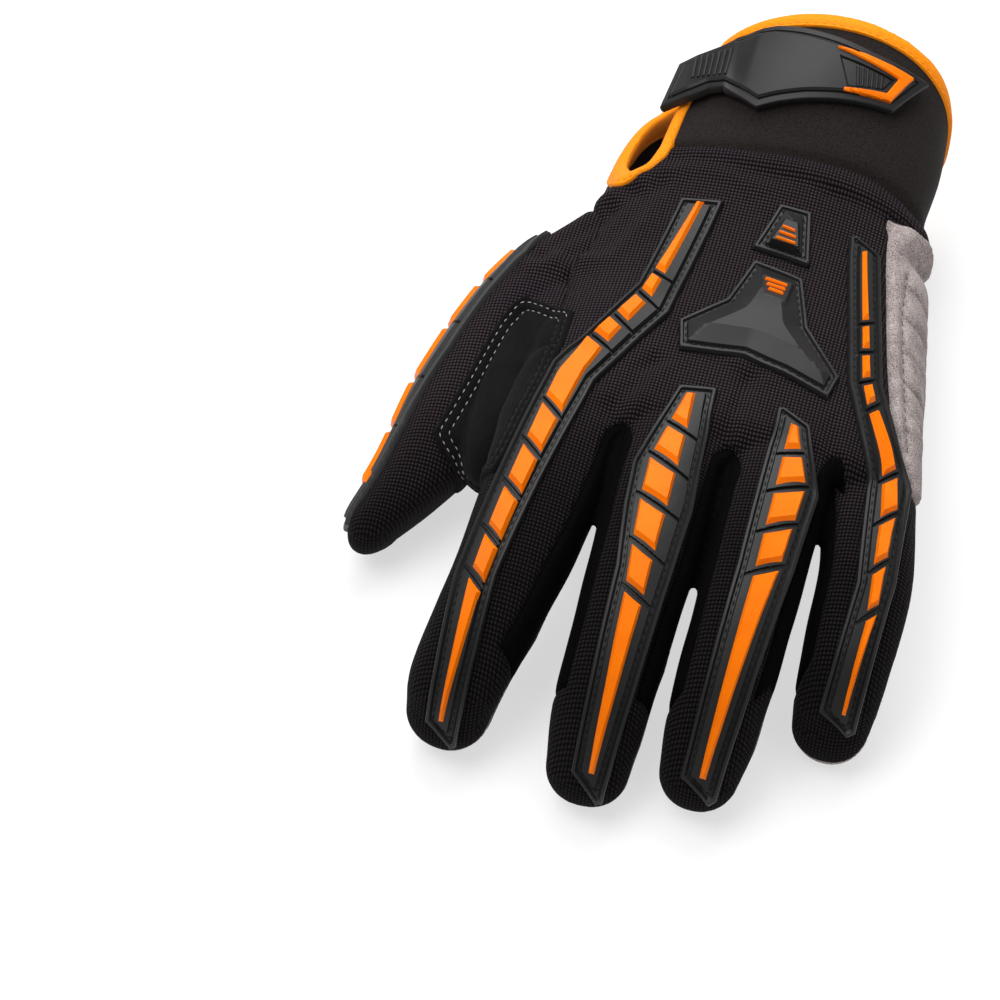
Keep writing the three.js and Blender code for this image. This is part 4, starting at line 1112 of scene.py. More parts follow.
def inset(outline, distance):
    """A closed outline with each corner moved inwards."""
    outline = np.array(outline, float)
    ahead = unit(np.roll(outline, -1, axis=0) - outline)
    behind = np.roll(ahead, 1, axis=0)
    x, y = outline.T
    turn = np.sign(np.sum(x * np.roll(y, -1) - np.roll(x, -1) * y))
    inward = unit(np.stack([-(ahead + behind)[:, 1], (ahead + behind)[:, 0]], 1))
    share = np.maximum(SHARPEST_CORNER, (inward * np.stack([-ahead[:, 1], ahead[:, 0]], 1)).sum(axis=1))
    return outline + turn * distance * inward / share[:, None]


def resampled(path, spacing, around=False):
    """Points an even distance apart along a path."""
    path = np.array(path, float)
    if around:
        path = np.vstack([path, path[:1]])
    run = np.append(0, np.cumsum(np.linalg.norm(np.diff(path, axis=0), axis=1)))
    at = np.linspace(0, run[-1], max(2, int(round(run[-1] / spacing)) + 1))
    return np.stack([np.interp(at, run, column) for column in path.T], 1)


# The guards: injection-moulded thermoplastic rubber, with a bead at the edge, a channel where they
# are sewn down, and a raised middle that carries orange cells. Grooves part the cells, so that the
# guard bends with the finger. The mould's spark texture is drawn coarser than the real one.
BEAD = {"depth": [0, 0.25, 0.5, 1.1, 1.5, 2.4, 2.9], "height": [0.8, 1.6, 1.9, 1.9, 1.0, 1.0, 2.5]}
CHANNEL = 1.95
CHANNEL_TOP = 1.15
GUARD_SPACING = 0.6
GROOVE = 2.2
GROOVE_FLOOR = 0.3
GROOVE_FOOT = 0.55
GROOVE_HEIGHT = 1.4
CELL = {"base": 2.3, "top": 3.7, "start": 0.9, "end": 1.7, "side": 0.8}
CELL_STEP = 1.2
CELLS_END = 8.4
CELL_POINTS = 12
CELL_SIDE_MOST = 0.42
NARROW_CELL = 0.35
CELL_CREASE = 15
MIDDLE_FROM = BEAD["depth"][5]
SEAM_STEP = 1.5
SPARK = 0.25
SPARK_DEPTH = 0.05
TIP = {"left": 7.6, "point": 0.8, "right": 2.4}

black_rubber, tree, shader = material("moulded black thermoplastic rubber", {
    "Roughness": 0.48, "Specular IOR Level": 0.35,
})
place = add(tree, "ShaderNodeTexCoord", {}, {})["Object"]
spark = add(tree, "ShaderNodeTexNoise", {}, {
    "Vector": place, "Scale": 1 / (SPARK * MM), "Detail": 2.0,
})["Fac"]
dust = add(tree, "ShaderNodeTexNoise", {}, {"Vector": place, "Scale": 1 / (9 * MM), "Detail": 4.0})["Fac"]
shade = add(tree, "ShaderNodeMix", {"data_type": "RGBA"}, {
    0: dust, 6: linear("141414"), 7: linear("1F1F1F"),
})[2]
tree.links.new(shade, shader.inputs["Base Color"])
relief = add(tree, "ShaderNodeBump", {}, {
    "Strength": 0.35, "Distance": SPARK_DEPTH * MM, "Height": spark,
})[0]
tree.links.new(relief, shader.inputs["Normal"])

orange_rubber, tree, shader = material("moulded orange thermoplastic rubber", {
    "Roughness": 0.42, "Specular IOR Level": 0.12,
})
place = add(tree, "ShaderNodeTexCoord", {}, {})["Object"]
flow = add(tree, "ShaderNodeTexNoise", {}, {"Vector": place, "Scale": 1 / (7 * MM), "Detail": 3.0})["Fac"]
shade = add(tree, "ShaderNodeMix", {"data_type": "RGBA"}, {
    0: flow, 6: linear("F46A00"), 7: linear("FF8202"),
})[2]
tree.links.new(shade, shader.inputs["Base Color"])
spark = add(tree, "ShaderNodeTexNoise", {}, {
    "Vector": place, "Scale": 1 / (SPARK * MM), "Detail": 2.0,
})["Fac"]
relief = add(tree, "ShaderNodeBump", {}, {
    "Strength": 0.3, "Distance": SPARK_DEPTH * MM, "Height": spark,
})[0]
tree.links.new(relief, shader.inputs["Normal"])

# Frame and cell rows are leftX, leftY, rightX, rightY from the wrist to the fingertip. A groove
# crosses the cells from its left height to its right height.
GUARDS = {
    "index": {
        "frame": [
            (-25, 21.5, -13, 24), (-29.6, -13, -18.5, -22.5), (-45.6, -45, -33, -50),
            (-51.2, -82, -39.5, -84), (-55.8, -110, -44.6, -110), (-56.3, -146, -47.5, -149),
        ],
        "cells": [
            (-20.2, 20, -18, 20.2), (-27.8, -17, -24, -19), (-38, -35.5, -33, -39), (-43, -49, -36.2, -48),
            (-45.8, -72.5, -41, -76.5), (-51.2, -112, -47.7, -115), (-52.6, -144, -51.2, -144),
        ],
        "grooves": [
            (-8.4, -10.5), (-17.2, -20.2), (-26.3, -30), (-34.4, -38.1), (-59.7, -64.7), (-73.3, -77.9),
            (-86.2, -90.2), (-99.2, -102.8), (-110.2, -113.4),
        ],
    },
    "middle": {
        "frame": [
            (-10.4, -46.5, 0, -43), (-16.6, -72.5, 0.8, -72), (-16, -85, 1.4, -83),
            (-14.2, -102, 0.3, -100), (-14.8, -151, -5.5, -154),
        ],
        "cells": [
            (-7.8, -49.5, -5.1, -49), (-12.3, -71.5, -4.9, -73), (-12, -84, -4.9, -87),
            (-10.4, -108, -5.5, -111), (-10.3, -149, -8.7, -149),
        ],
        "grooves": [(-59.9, -62.1), (-70.4, -74), (-82.8, -86), (-95.3, -98.3), (-106.9, -109.3)],
    },
    "ring": {
        "frame": [
            (16.8, -47, 18.6, -45.4), (17.1, -55, 26.6, -50), (17, -71, 32.5, -69), (16.8, -94, 31, -92),
            (13.8, -147, 23.8, -144),
        ],
        "cells": [
            (21.3, -51.1, 23.7, -51.7), (21.6, -70, 28.8, -69), (21.5, -97, 27.2, -94.5),
            (18.6, -142, 20.4, -142),
        ],
        "grooves": [(-61, -59.4), (-72.5, -68.9), (-84.5, -80.6), (-95.9, -92.6)],
    },
    "little": {
        "frame": [
            (23.4, 21, 25.2, 22.4), (24.5, 13, 32.8, 18), (33.2, -31.5, 42.1, -27.5), (44.6, -58, 56, -56),
            (47.8, -86, 57.8, -84), (45.5, -119.5, 55.5, -117),
        ],
        "cells": [
            (27.4, 16, 28.8, 17), (36.3, -30, 38.4, -28.5), (39.6, -39.2, 41.5, -36.5),
            (48.1, -57, 51.4, -54), (50, -68.2, 53.4, -64), (52.3, -95, 54.6, -92.5),
            (51.1, -115, 52.2, -115),
        ],
        "grooves": [
            (-10.3, -8.9), (-20.2, -19), (-30.8, -29), (-39.2, -36.5), (-57.4, -53.8), (-69.6, -65.7),
            (-82.6, -79.4), (-93.7, -91.3),
        ],
    },
}


def strip_outline(rows):
    """The outline of a strip of rows."""
    rows = np.array(rows, float)
    return np.vstack([rows[:, :2], rows[::-1, 2:]])


def tipped(frame_rows, roll):
    """A finger guard's outline in unrolled lengths, cut to a slanted point at the fingertip."""
    outline = rolled(strip_outline(frame_rows), roll)
    outline[:, 1] = np.clip(outline[:, 1], roll.first, roll.last)
    end = len(frame_rows)
    left, right = outline[end - 1], outline[end]
    point = left + TIP["point"] * (right - left)
    tip = [left + (0, TIP["left"]), point, right + (0, TIP["right"])]
    return np.vstack([outline[:end - 1], tip, outline[end + 1:]])


def edge_at(rows, side, v):
    """The points of a strip's left or right edge at heights v."""
    rows = np.array(rows, float)
    u_edge, v_edge = rows[:, 2 * side], rows[:, 2 * side + 1]
    order = np.argsort(v_edge)
    return np.stack([np.interp(v, v_edge[order], u_edge[order]), v], 1)


def cell(left, right, face, roll, shape):
    """Points and faces of one bevelled cell between two facing edges, in unrolled lengths. Its shape
    is the heights of its base and top and the bevels at its start, its end and its sides."""
    base, top, start, end, side = (shape[key] for key in ("base", "top", "start", "end", "side"))
    middle = (left + right) / 2
    run = np.append(0, np.cumsum(np.linalg.norm(np.diff(middle, axis=0), axis=1)))
    length = run[-1]
    start, end = min(start, length / 3), min(end, length / 3)
    fill = np.linspace(start, length - end, max(2, math.ceil((length - start - end) / CELL_STEP) + 1))
    stops = np.concatenate([[0], fill, [length]])
    left = np.stack([np.interp(stops, run, column) for column in left.T], 1)
    right = np.stack([np.interp(stops, run, column) for column in right.T], 1)
    width = np.linalg.norm(right - left, axis=1)
    bevel = np.minimum(side / width, CELL_SIDE_MOST)
    columns = np.stack([0 * bevel, bevel, 1 - bevel, 0 * bevel + 1], 1)
    flat = left[:, None] + columns[..., None] * (right - left)[:, None]
    rows, across = columns.shape
    places, normals = on_skin(face, flat.reshape(-1, 2), roll)
    height = np.full((rows, across), base)
    fullness = np.minimum(1, NARROW_CELL + (1 - NARROW_CELL) * width / (3 * side))
    height[1:-1, 1:-1] = (base + (top - base) * fullness)[1:-1, None]
    top_points = places + height.reshape(-1, 1) * normals
    bottom_points = places + (base - 1) * normals
    a = (np.arange(rows - 1)[:, None] * across + np.arange(across - 1)).ravel()
    b, c, d = a + 1, a + across + 1, a + across
    row, column = np.divmod(a, across)
    falling = ((row == 0) == (column == 0)) | ((row > 0) & (row < rows - 2))
    faces = np.vstack([
        np.stack([a, b, c], 1)[falling], np.stack([a, c, d], 1)[falling],
        np.stack([a, b, d], 1)[~falling], np.stack([b, c, d], 1)[~falling],
    ])
    first, second, third = top_points[faces[0]]
    if np.cross(second - first, third - first) @ normals[faces[0, 0]] < 0:
        faces = faces[:, ::-1]
    return closed(top_points, bottom_points, faces)


def joined(parts):
    """Several closed bodies as one list of points and faces."""
    starts = np.cumsum([0] + [len(points) for points, _ in parts[:-1]])
    faces = np.vstack([faces + start for (_, faces), start in zip(parts, starts)])
    return np.vstack([points for points, _ in parts]), faces


def across_line(start, end):
    """The distance of a drawing's points from the line through two points."""
    normal = unit(np.array([start[1] - end[1], end[0] - start[0]]))
    return lambda flat: (flat - start) @ normal


def guard(name, outline, spans, face, roll):
    """A guard with its cells. Spans are the facing edges of each cell, in unrolled lengths."""
    grooves = [
        across_line((before[0][-1] + after[0][0]) / 2, (before[1][-1] + after[1][0]) / 2)
        for before, after in zip(spans, spans[1:])
    ]
    walls = (-GROOVE_FOOT, -GROOVE_FLOOR, GROOVE_FLOOR, GROOVE_FOOT)
    sheet = laid(outline, face, GUARD_SPACING, BEAD["depth"][1:], roll, [(away, walls) for away in grooves])
    height = np.interp(sheet.depth, BEAD["depth"], BEAD["height"])
    for away in grooves:
        cut = np.interp(np.abs(away(sheet.flat)), [GROOVE_FLOOR, GROOVE_FOOT], [GROOVE_HEIGHT, 9])
        height = np.where(sheet.depth > MIDDLE_FROM, np.minimum(height, cut), height)
    raised(f"{name}_guard", sheet, height, black_rubber, "black_rubber", [f"{name}_guard"])
    cells = joined([cell(left, right, face, roll, CELL) for left, right in spans])
    shown(
        f"{name}_guard_cells", *cells, orange_rubber, "orange_rubber", [f"{name}_guard_cells"], CELL_CREASE,
    )
    path = resampled(inset(outline, CHANNEL), SEAM_STEP, around=True)
    places, normals = on_skin(face, path, roll)
    return row(places + CHANNEL_TOP * normals)


guard_seams = []
for name, table in GUARDS.items():
    rows = np.array(table["frame"], float)
    roll = unrolled(ABOVE, (rows[:, :2] + rows[:, 2:]) / 2, lambda y, name=name: finger_middle(name, y))
    tip = float(np.interp(roll.first + CELLS_END, roll.run, roll.v))
    last = table["cells"][-1]
    cells = [*table["cells"][:-1], (last[0], tip, last[2], tip)]
    spans = []
    marks = [(cells[0][1], cells[0][3]), *table["grooves"], (cells[-1][1], cells[-1][3])]
    for k, (start, end) in enumerate(zip(marks, marks[1:])):
        sides = []
        for side in (0, 1):
            low = start[side] - (GROOVE / 2 if k > 0 else 0)
            high = end[side] + (GROOVE / 2 if k < len(marks) - 2 else 0)
            sides.append(rolled(edge_at(cells, side, np.linspace(low, high, CELL_POINTS)), roll))
        spans.append(sides)
    guard_seams.append(guard(name, tipped(table["frame"], roll), spans, ABOVE, roll))

# The thumb's guard, moulded like the others, is drawn on the thumb's own back. The columns of its
# cells are start and end along the thumb, and the middle and half width across it.
THUMB_GUARD = {
    "origin": (-58.9, 8, 30), "back": (-0.915, 0.258, 0.311), "tip": (-91, -88.5, 15.5),
    "frame": [
        (-8, -3, 5, -3), (-11.5, 8, 8.5, 8), (-11, 45, 8.5, 45), (-7.2, 71, 7, 71), (-1, 101, 5, 101),
    ],
    "cells": [
        (5.5, 18.8, 0, 3.2), (20.6, 34.8, 0, 3.2), (36.6, 53.6, 0, 3.2), (55.4, 69, 0.3, 3),
        (70.8, 88, 0.8, 2.4),
    ],
}
thumb_origin = np.array(THUMB_GUARD["origin"], float)
thumb_along = unit(np.array(THUMB_GUARD["tip"]) - thumb_origin)
thumb_face = flat_face(thumb_origin, unit(np.cross(thumb_along, THUMB_GUARD["back"])), thumb_along)
rows = np.array(THUMB_GUARD["frame"], float)
roll = unrolled(thumb_face, (rows[:, :2] + rows[:, 2:]) / 2)
spans = []
for start, end, middle, half_width in THUMB_GUARD["cells"]:
    v = np.linspace(start, end, CELL_POINTS)
    spans.append([
        rolled(np.stack([np.full(CELL_POINTS, u), v], 1), roll)
        for u in (middle - half_width, middle + half_width)
    ])
outline = rolled(strip_outline(THUMB_GUARD["frame"]), roll)
outline[:, 1] = np.clip(outline[:, 1], roll.first, roll.last)
guard_seams.append(guard("thumb", outline, spans, thumb_face, roll))
stitched("guard_stitches", guard_seams, black_thread, length=1.6, gap=0.9)

# Plates on the back of the hand, moulded and sewn down like the guards, with a higher chamfered
# middle and three small orange stripes on a stem. The faces are plain.
PLATE = {
    "depth": [0, 0.25, 0.5, 1.1, 1.5, 2.2, 2.6, 7.6],
    "height": [0.6, 1.4, 1.8, 1.8, 1.0, 1.0, 2.1, 4.6],
}
PLATES = {
    "wrist": {
        "outline": [(2.5, 25.3), (11.8, 24.8), (15, 5.7), (-1.8, 8)],
        "stripes": [(5.2, 15.4, 9, 14.6), (4.7, 13.2, 9.6, 12.4), (4.2, 11, 10, 10.2)],
        "stem": [(4.8, 19), (9.4, 18.5), (11.6, 8.2), (2.2, 9.4)],
        "ramp": {"y": [9, 19], "height": [4.2, 4.4]},
    },
    "knuckle": {
        "outline": [
            (-0.3, 3.4), (14.3, 0.4), (19.2, -16.9), (30.8, -31.2), (29.2, -39.4), (16, -35.2),
            (4.5, -32.6), (-13.3, -34.1), (-15.5, -24.1), (-4.6, -13.5),
        ],
        "stripes": [(4.5, -4.9, 11, -6), (5.3, -7.1, 10.8, -7.9), (6.2, -9.1, 10.6, -9.9)],
        "stem": [(2.7, -2.6), (12.6, -3.9), (12, -14), (4.9, -12.7)],
        "ramp": {"y": [-14, -3], "height": [5.2, 3.6]},
    },
}
PLATE_CREASE = 17
STEM_EDGE = 0.8
STRIPE_HALF = 0.38
STRIPE_POINTS = 8
STRIPE = {"base": 0.3, "top": 0.8, "start": 0.3, "end": 0.3, "side": 0.25}
plate_seams = []
for name, table in PLATES.items():
    in_stem = lambda flat, stem=table["stem"]: depth_in(flat, stem)
    stem_lines = [(in_stem, (0, STEM_EDGE))]
    sheet = laid(table["outline"], ABOVE, GUARD_SPACING, PLATE["depth"][1:], scores=stem_lines)
    height = np.interp(sheet.depth, PLATE["depth"], PLATE["height"])
    ramp = np.interp(sheet.flat[:, 1], table["ramp"]["y"], table["ramp"]["height"])
    height += np.clip(in_stem(sheet.flat) / STEM_EDGE, 0, 1) * (ramp - height)
    plate = raised(
        f"{name}_plate", sheet, height, black_rubber, "black_rubber", [f"{name}_plate"],
        crease=PLATE_CREASE,
    )
    on_plate = above(surface_of(plate))
    bars = []
    for left_x, left_y, right_x, right_y in table["stripes"]:
        line = np.linspace((left_x, left_y), (right_x, right_y), STRIPE_POINTS)
        aside = STRIPE_HALF * unit(np.array([left_y - right_y, right_x - left_x]))
        bars.append(cell(line - aside, line + aside, on_plate, None, STRIPE))
    shown(
        f"{name}_plate_cells", *joined(bars), orange_rubber, "orange_rubber", [f"{name}_plate_cells"],
        CELL_CREASE,
    )
    places, normals = on_skin(ABOVE, resampled(inset(table["outline"], CHANNEL), SEAM_STEP, around=True))
    plate_seams.append(row(places + CHANNEL_TOP * normals))
stitched("plate_stitches", plate_seams, black_thread, length=1.6, gap=0.9)

# The patch over the thumb's web: black suede with a little wadding, sewn down with two rows of
# stitches, pale towards the thumb and the wrist and black elsewhere. It creases where the web folds
# up to the index finger.
WEB_OUTLINE = [
    (-60.7, -15), (-63.9, -18.3), (-66.9, -25.9), (-71.5, -44.6), (-76.1, -60.5), (-72.8, -64.5),
    (-66, -68), (-60, -79), (-52.5, -82), (-50.6, -76), (-49.3, -69.5), (-48.2, -62.5), (-46.9, -55.5),
    (-45.9, -48), (-45.2, -42), (-44.8, -34.3), (-45.2, -23),
]
WEB_PALE_EDGE = [WEB_OUTLINE[-1], *WEB_OUTLINE[:6], (-68, -67)]
WEB_PALE_REACH = 4.8
WEB_FLOOR = 14
WEB_PROFILE = {
    "edge": [0, 0.3, 0.8, 1.6, 2.4, 3.2, 3.9, 4.6, 7, 11],
    "height": [0.4, 0.95, 1.2, 0.85, 1.2, 1.1, 0.8, 1.15, 1.8, 2.2],
}
WEB_ROWS = (1.6, 3.9)
WEB_FOLD = [(-60.5, -21.5), (-56.5, -29), (-52, -39), (-51.2, -48), (-53.5, -60), (-57, -74)]
WEB_FURROW = {"depth": 1.1, "width": 2.4}
WEB_TURN = 0.25
PATCH_SUNK = 0.4


def patch(name, sheet, profile, rows, finish, slot, more=None):
    """A panel sewn on top of the skin, with its profile from the edge inwards. It returns the piece,
    the lines of its stitches, and its table, faces and points just over its top. No part of it goes
    below the ground."""
    table, faces = sheet
    table = np.hstack([table, edge_distance(table[:, PLACE], faces)[:, None]])
    for at in profile["edge"][1:]:
        table, faces, _ = scored(table, faces, table[:, -1] - at)
    height = np.interp(table[:, -1], profile["edge"], profile["height"])
    if more is not None:
        height = height + more(table)
    top = table[:, PLACE] + height[:, None] * table[:, NORMAL]
    bottom = table[:, PLACE] - PATCH_SUNK * table[:, NORMAL]
    for side in (top, bottom):
        side[:, 2] = np.maximum(side[:, 2], 0)
    piece = shown(name, *closed(top, bottom, faces), finish, slot, [name])
    proud = top + STITCH_LIFT * table[:, NORMAL]
    return piece, [contour(proud, faces, table[:, -1] - at) for at in rows], (table, faces, proud)


web_sheet, _ = parted(whole, depth_in(whole[0][:, PLAN], WEB_OUTLINE))
web_sheet, _ = parted(web_sheet, web_sheet[0][:, REST_Z] - WEB_FLOOR)
web_sheet, _ = parted(web_sheet, web_sheet[0][:, NORMAL_UP] + WEB_TURN)
_, web_rows, _ = patch(
    "web_patch", web_sheet, WEB_PROFILE, WEB_ROWS, black_suede, "black_suede",
    lambda table: -WEB_FURROW["depth"] * furrow(
        path_distance(table[:, PLAN], WEB_FOLD), WEB_FURROW["width"]
    ),
)
pale_rows, dark_rows = [], []
for points, edges in web_rows:
    pale = path_distance(points[edges].mean(axis=1)[:, :2], WEB_PALE_EDGE) < WEB_PALE_REACH
    pale_rows.append((points, edges[pale]))
    dark_rows.append((points, edges[~pale]))
stitched("web_stitches", pale_rows, pale_thread, length=1.4, gap=1, radius=0.16)
stitched("web_hem_stitches", dark_rows, black_thread, length=1.6, gap=1, radius=0.2)

# The wrist strap: a long rubber moulding sewn to the cuff's back, which is pulled round the wrist and
# held by hook tape on its free end. That end stands off the slit and has ribs to grip.
STRAP_OUTLINE = [
    (-37.4, 68.2), (-31.4, 69.9), (-25.4, 71.8), (-21.4, 73.8), (-10.2, 75.2), (-2.4, 74.5), (9, 72.8),
    (18.7, 71.2), (29.7, 70.3), (37, 70.1), (28.3, 56.6), (24, 56), (13.7, 54.4), (2.5, 52.4),
    (-4.7, 50.7), (-10.7, 48.9), (-21.6, 54.8), (-25.9, 55.2), (-30.8, 53.4), (-39.6, 51.8),
]
STRAP_TOP = 5.2
STRAP_THICKNESS = 3.2
STRAP_END = {"x": [-41, -32, -21], "top": [52.5, 59.5, 65.6]}
STRAP_LIFTS = (-14, -24)
STRAP_SPACING = 0.5
STRAP_STEEPEST = 0.45
STRAP_EVENING = 12
STRAP_CREASE = 25
STRAP_PROFILE = {
    "depth": [0, 0.3, 0.6, 1.9, 2.05, 2.35, 2.5, 3.2],
    "fall": [2.2, 1.2, 0.9, 0.8, 1.3, 1.3, 0.5, 0],
}
STRAP_PANEL = [(9.6, 66.9), (26.4, 64.9), (24, 60.8), (13.8, 58.2)]
PANEL_PROFILE = {"depth": [0, 0.25, 0.6], "fall": [0, 0.7, 0.45]}
STRAP_RIBS = {"top": [(-31.2, 67.2), (-21.5, 68.3)], "bottom": [(-30.7, 59.4), (-21.3, 58.8)], "count": 7}
PANEL_RIBS = {"top": [(15.4, 65.2), (22.6, 64.6)], "bottom": [(16.6, 59.6), (23, 61.2)], "count": 6}
RIB_RADIUS = 0.45
RIB_LIFT = 0.1
RIB_POINTS = 10
CHEVRON = [
    (8.6, 69.4), (31.4, 67.8), (26.4, 58.8), (12.8, 57.1), (13, 57.8), (24.9, 60.2), (27.2, 65.4),
    (8.9, 68.6),
]
CHEVRON_PROFILE = {"depth": [0, 0.35], "height": [0.35, 0.95]}
CHEVRON_SPACING = 0.4


def rib_tree():
    """A round rib along each line."""
    tree = bpy.data.node_groups.new("moulded ribs", "GeometryNodeTree")
    tree.interface.new_socket("Lines", in_out="INPUT", socket_type="NodeSocketGeometry")
    radius = tree.interface.new_socket("Rib radius", in_out="INPUT", socket_type="NodeSocketFloat")
    radius.default_value = RIB_RADIUS * MM
    tree.interface.new_socket("Rubber", in_out="INPUT", socket_type="NodeSocketMaterial")
    tree.interface.new_socket("Ribs", in_out="OUTPUT", socket_type="NodeSocketGeometry")
    given = add(tree, "NodeGroupInput", {}, {})
    curve = add(tree, "GeometryNodeMeshToCurve", {}, {0: given["Lines"]})[0]
    round_bar = add(tree, "GeometryNodeCurvePrimitiveCircle", {}, {
        "Resolution": 8, "Radius": given["Rib radius"],
    })[0]
    swept = add(tree, "GeometryNodeCurveToMesh", {}, {
        "Curve": curve, "Profile Curve": round_bar, "Fill Caps": True,
    })[0]
    real = add(tree, "GeometryNodeRealizeInstances", {}, {0: swept})[0]
    coloured = add(tree, "GeometryNodeSetMaterial", {}, {"Geometry": real, "Material": given["Rubber"]})[0]
    add(tree, "NodeGroupOutput", {}, {0: coloured})
    return tree


MOULDED_RIBS = rib_tree()


def ribs_between(face, rib):
    """Lines that run from one edge of a ribbed field to the other, just over a surface."""
    tops = np.linspace(*rib["top"], rib["count"])
    bottoms = np.linspace(*rib["bottom"], rib["count"])
    lines = []
    for top, bottom in zip(tops, bottoms):
        places, normals = on_skin(face, np.linspace(top, bottom, RIB_POINTS))
        lines.append(row(places + RIB_LIFT * normals))
    return lines


table, faces = grid_over(STRAP_OUTLINE, STRAP_SPACING)
places, normals = landed(ABOVE, table[:, :2])
on_cuff = places[:, 2] + STRAP_TOP / np.maximum(normals[:, 2], STRAP_STEEPEST)
free = np.interp(table[:, 0], STRAP_END["x"], STRAP_END["top"])
share = np.clip((table[:, 0] - STRAP_LIFTS[0]) / (STRAP_LIFTS[1] - STRAP_LIFTS[0]), 0, 1)
share = np.where(np.isnan(on_cuff), 1, share * share * (3 - 2 * share))
level = np.where(share < 1, np.nan_to_num(on_cuff) * (1 - share) + free * share, free)
crown = np.column_stack([table[:, :2], level])
crown[:, 2] = relaxed(crown, faces, STRAP_EVENING)[:, 2]
table = np.hstack([table, crown[:, 2:], normals_of(crown, faces)])
(table, faces), _ = parted((table, faces), table[:, 2])
for at in STRAP_PROFILE["depth"][1:]:
    table, faces, _ = scored(table, faces, table[:, 2] - at)
for at in PANEL_PROFILE["depth"]:
    table, faces, _ = scored(table, faces, depth_in(table[:, :2], STRAP_PANEL) - at)
crown, normals = table[:, [0, 1, 3]], unit(table[:, 4:7])
fall = np.interp(table[:, 2], STRAP_PROFILE["depth"], STRAP_PROFILE["fall"])
fall += np.interp(depth_in(table[:, :2], STRAP_PANEL), PANEL_PROFILE["depth"], PANEL_PROFILE["fall"])
body = closed(crown - fall[:, None] * normals, crown - STRAP_THICKNESS * normals, faces)
strap = shown("wrist_strap", *body, black_rubber, "black_rubber", ["wrist_strap"], STRAP_CREASE)
on_strap = above(surface_of(strap))
sheet = laid(CHEVRON, on_strap, CHEVRON_SPACING, CHEVRON_PROFILE["depth"][1:])
height = np.interp(sheet.depth, CHEVRON_PROFILE["depth"], CHEVRON_PROFILE["height"])
raised("strap_chevron", sheet, height, orange_rubber, "orange_rubber", ["strap_chevron"], sunk=0.3)
ribs = ribs_between(on_strap, STRAP_RIBS) + ribs_between(on_strap, PANEL_RIBS)
rib_settings = {"Rib radius": RIB_RADIUS * MM, "Rubber": black_rubber}
along_lines("strap_ribs", ribs, MOULDED_RIBS, rib_settings)

# The strap's other end, under the wrist: a rubber tab with stepped edges and a raised ring round its
# slot.
PULL_TAB = [(-14, 61), (-19, 55), (-8, 47.5), (10, 44.5), (28, 47), (33, 55), (26, 61), (8, 62.5)]
TAB_PROFILE = {
    "depth": [0, 0.3, 1.1, 1.3, 2.0, 2.2, 3.0, 3.2, 3.9, 4.1],
    "height": [0.6, 1.4, 1.5, 1.1, 1.1, 1.9, 1.9, 1.5, 1.5, 2.1],
}
TAB_SPACING = 0.5
TAB_SLOT = [(-3, 54), (18, 54)]
TAB_SLOT_RADIUS = 2.4
RING_PROFILE = {"away": [-0.7, -0.4, 0.4, 0.7], "rise": [-0.9, 0.7, 0.7, 0]}


def seen_from_below(path):
    """A plan path as it is drawn on the face below."""
    return [(x, -y) for x, y in path]


def from_slot(flat):
    """How far points of the tab's drawing lie outside its slot."""
    return path_distance(flat, seen_from_below(TAB_SLOT)) - TAB_SLOT_RADIUS


slot_lines = [(from_slot, RING_PROFILE["away"])]
sheet = laid(
    seen_from_below(PULL_TAB), below(SKIN), TAB_SPACING, TAB_PROFILE["depth"][1:], scores=slot_lines,
)
height = np.interp(sheet.depth, TAB_PROFILE["depth"], TAB_PROFILE["height"])
height += np.interp(from_slot(sheet.flat), RING_PROFILE["away"], RING_PROFILE["rise"])
raised("pull_tab", sheet, height, black_rubber, "black_rubber", ["pull_tab"], sunk=0.3)

# Padding of the palm: gel pads under grained black leather, each sewn down with rows of pale
# stitches. The heel pad carries the hand, and is pressed flat where it rests. The leather's pebbles
# are drawn coarser than the real ones.
HEEL_SIZE = (24, 26)
HEEL_PROFILE = {
    "edge": [0, 0.3, 0.8, 1.6, 2.4, 3.6, 4.4, 5.2, 8, 12],
    "height": [0.5, 1, 1.2, 0.9, 1.3, 1.2, 0.95, 1.6, 4.2, 5.6],
}
HEEL_ROWS = (1.6, 4.4)
PAD_ROWS = (1.5,)
CRESCENT = [(26, 24), (36, 15), (42, -6), (47, -26), (38, -28), (31, -22), (31, -6), (27, 10)]
CRESCENT_PROFILE = {"edge": [0, 0.3, 0.8, 1.5, 2.2, 3, 5], "height": [0.5, 1, 1.2, 0.9, 1.3, 2, 2.7]}
KNUCKLE_BAND = [
    (50, -36), (53, -47), (40, -57), (8, -61), (-24, -61), (-44, -57), (-48, -44), (-44, -33), (0, -31),
]
KNUCKLE_CELLS = [
    [(-43, -35), (-25, -34), (-25, -57), (-42, -54)],
    [(-22, -34), (-2, -33.5), (-2, -58), (-22, -58)],
    [(1, -33.5), (22, -34), (22, -57), (1, -58)],
    [(25, -34), (47, -37.5), (49, -46), (38, -55), (25, -56.5)],
]
BAND_PROFILE = {"edge": [0, 0.3, 0.8, 1.5, 2.2], "height": [0.5, 0.9, 1.1, 0.85, 1.1]}
CELL_PROFILE = {"depth": [0.3, 1.2, 4, 8], "swell": [0, 0.8, 1.8, 2.1]}
CELL_ROW = 0.2
HEEL_POINTS = 48
PEBBLE = 1.1
PEBBLE_DEPTH = 0.25

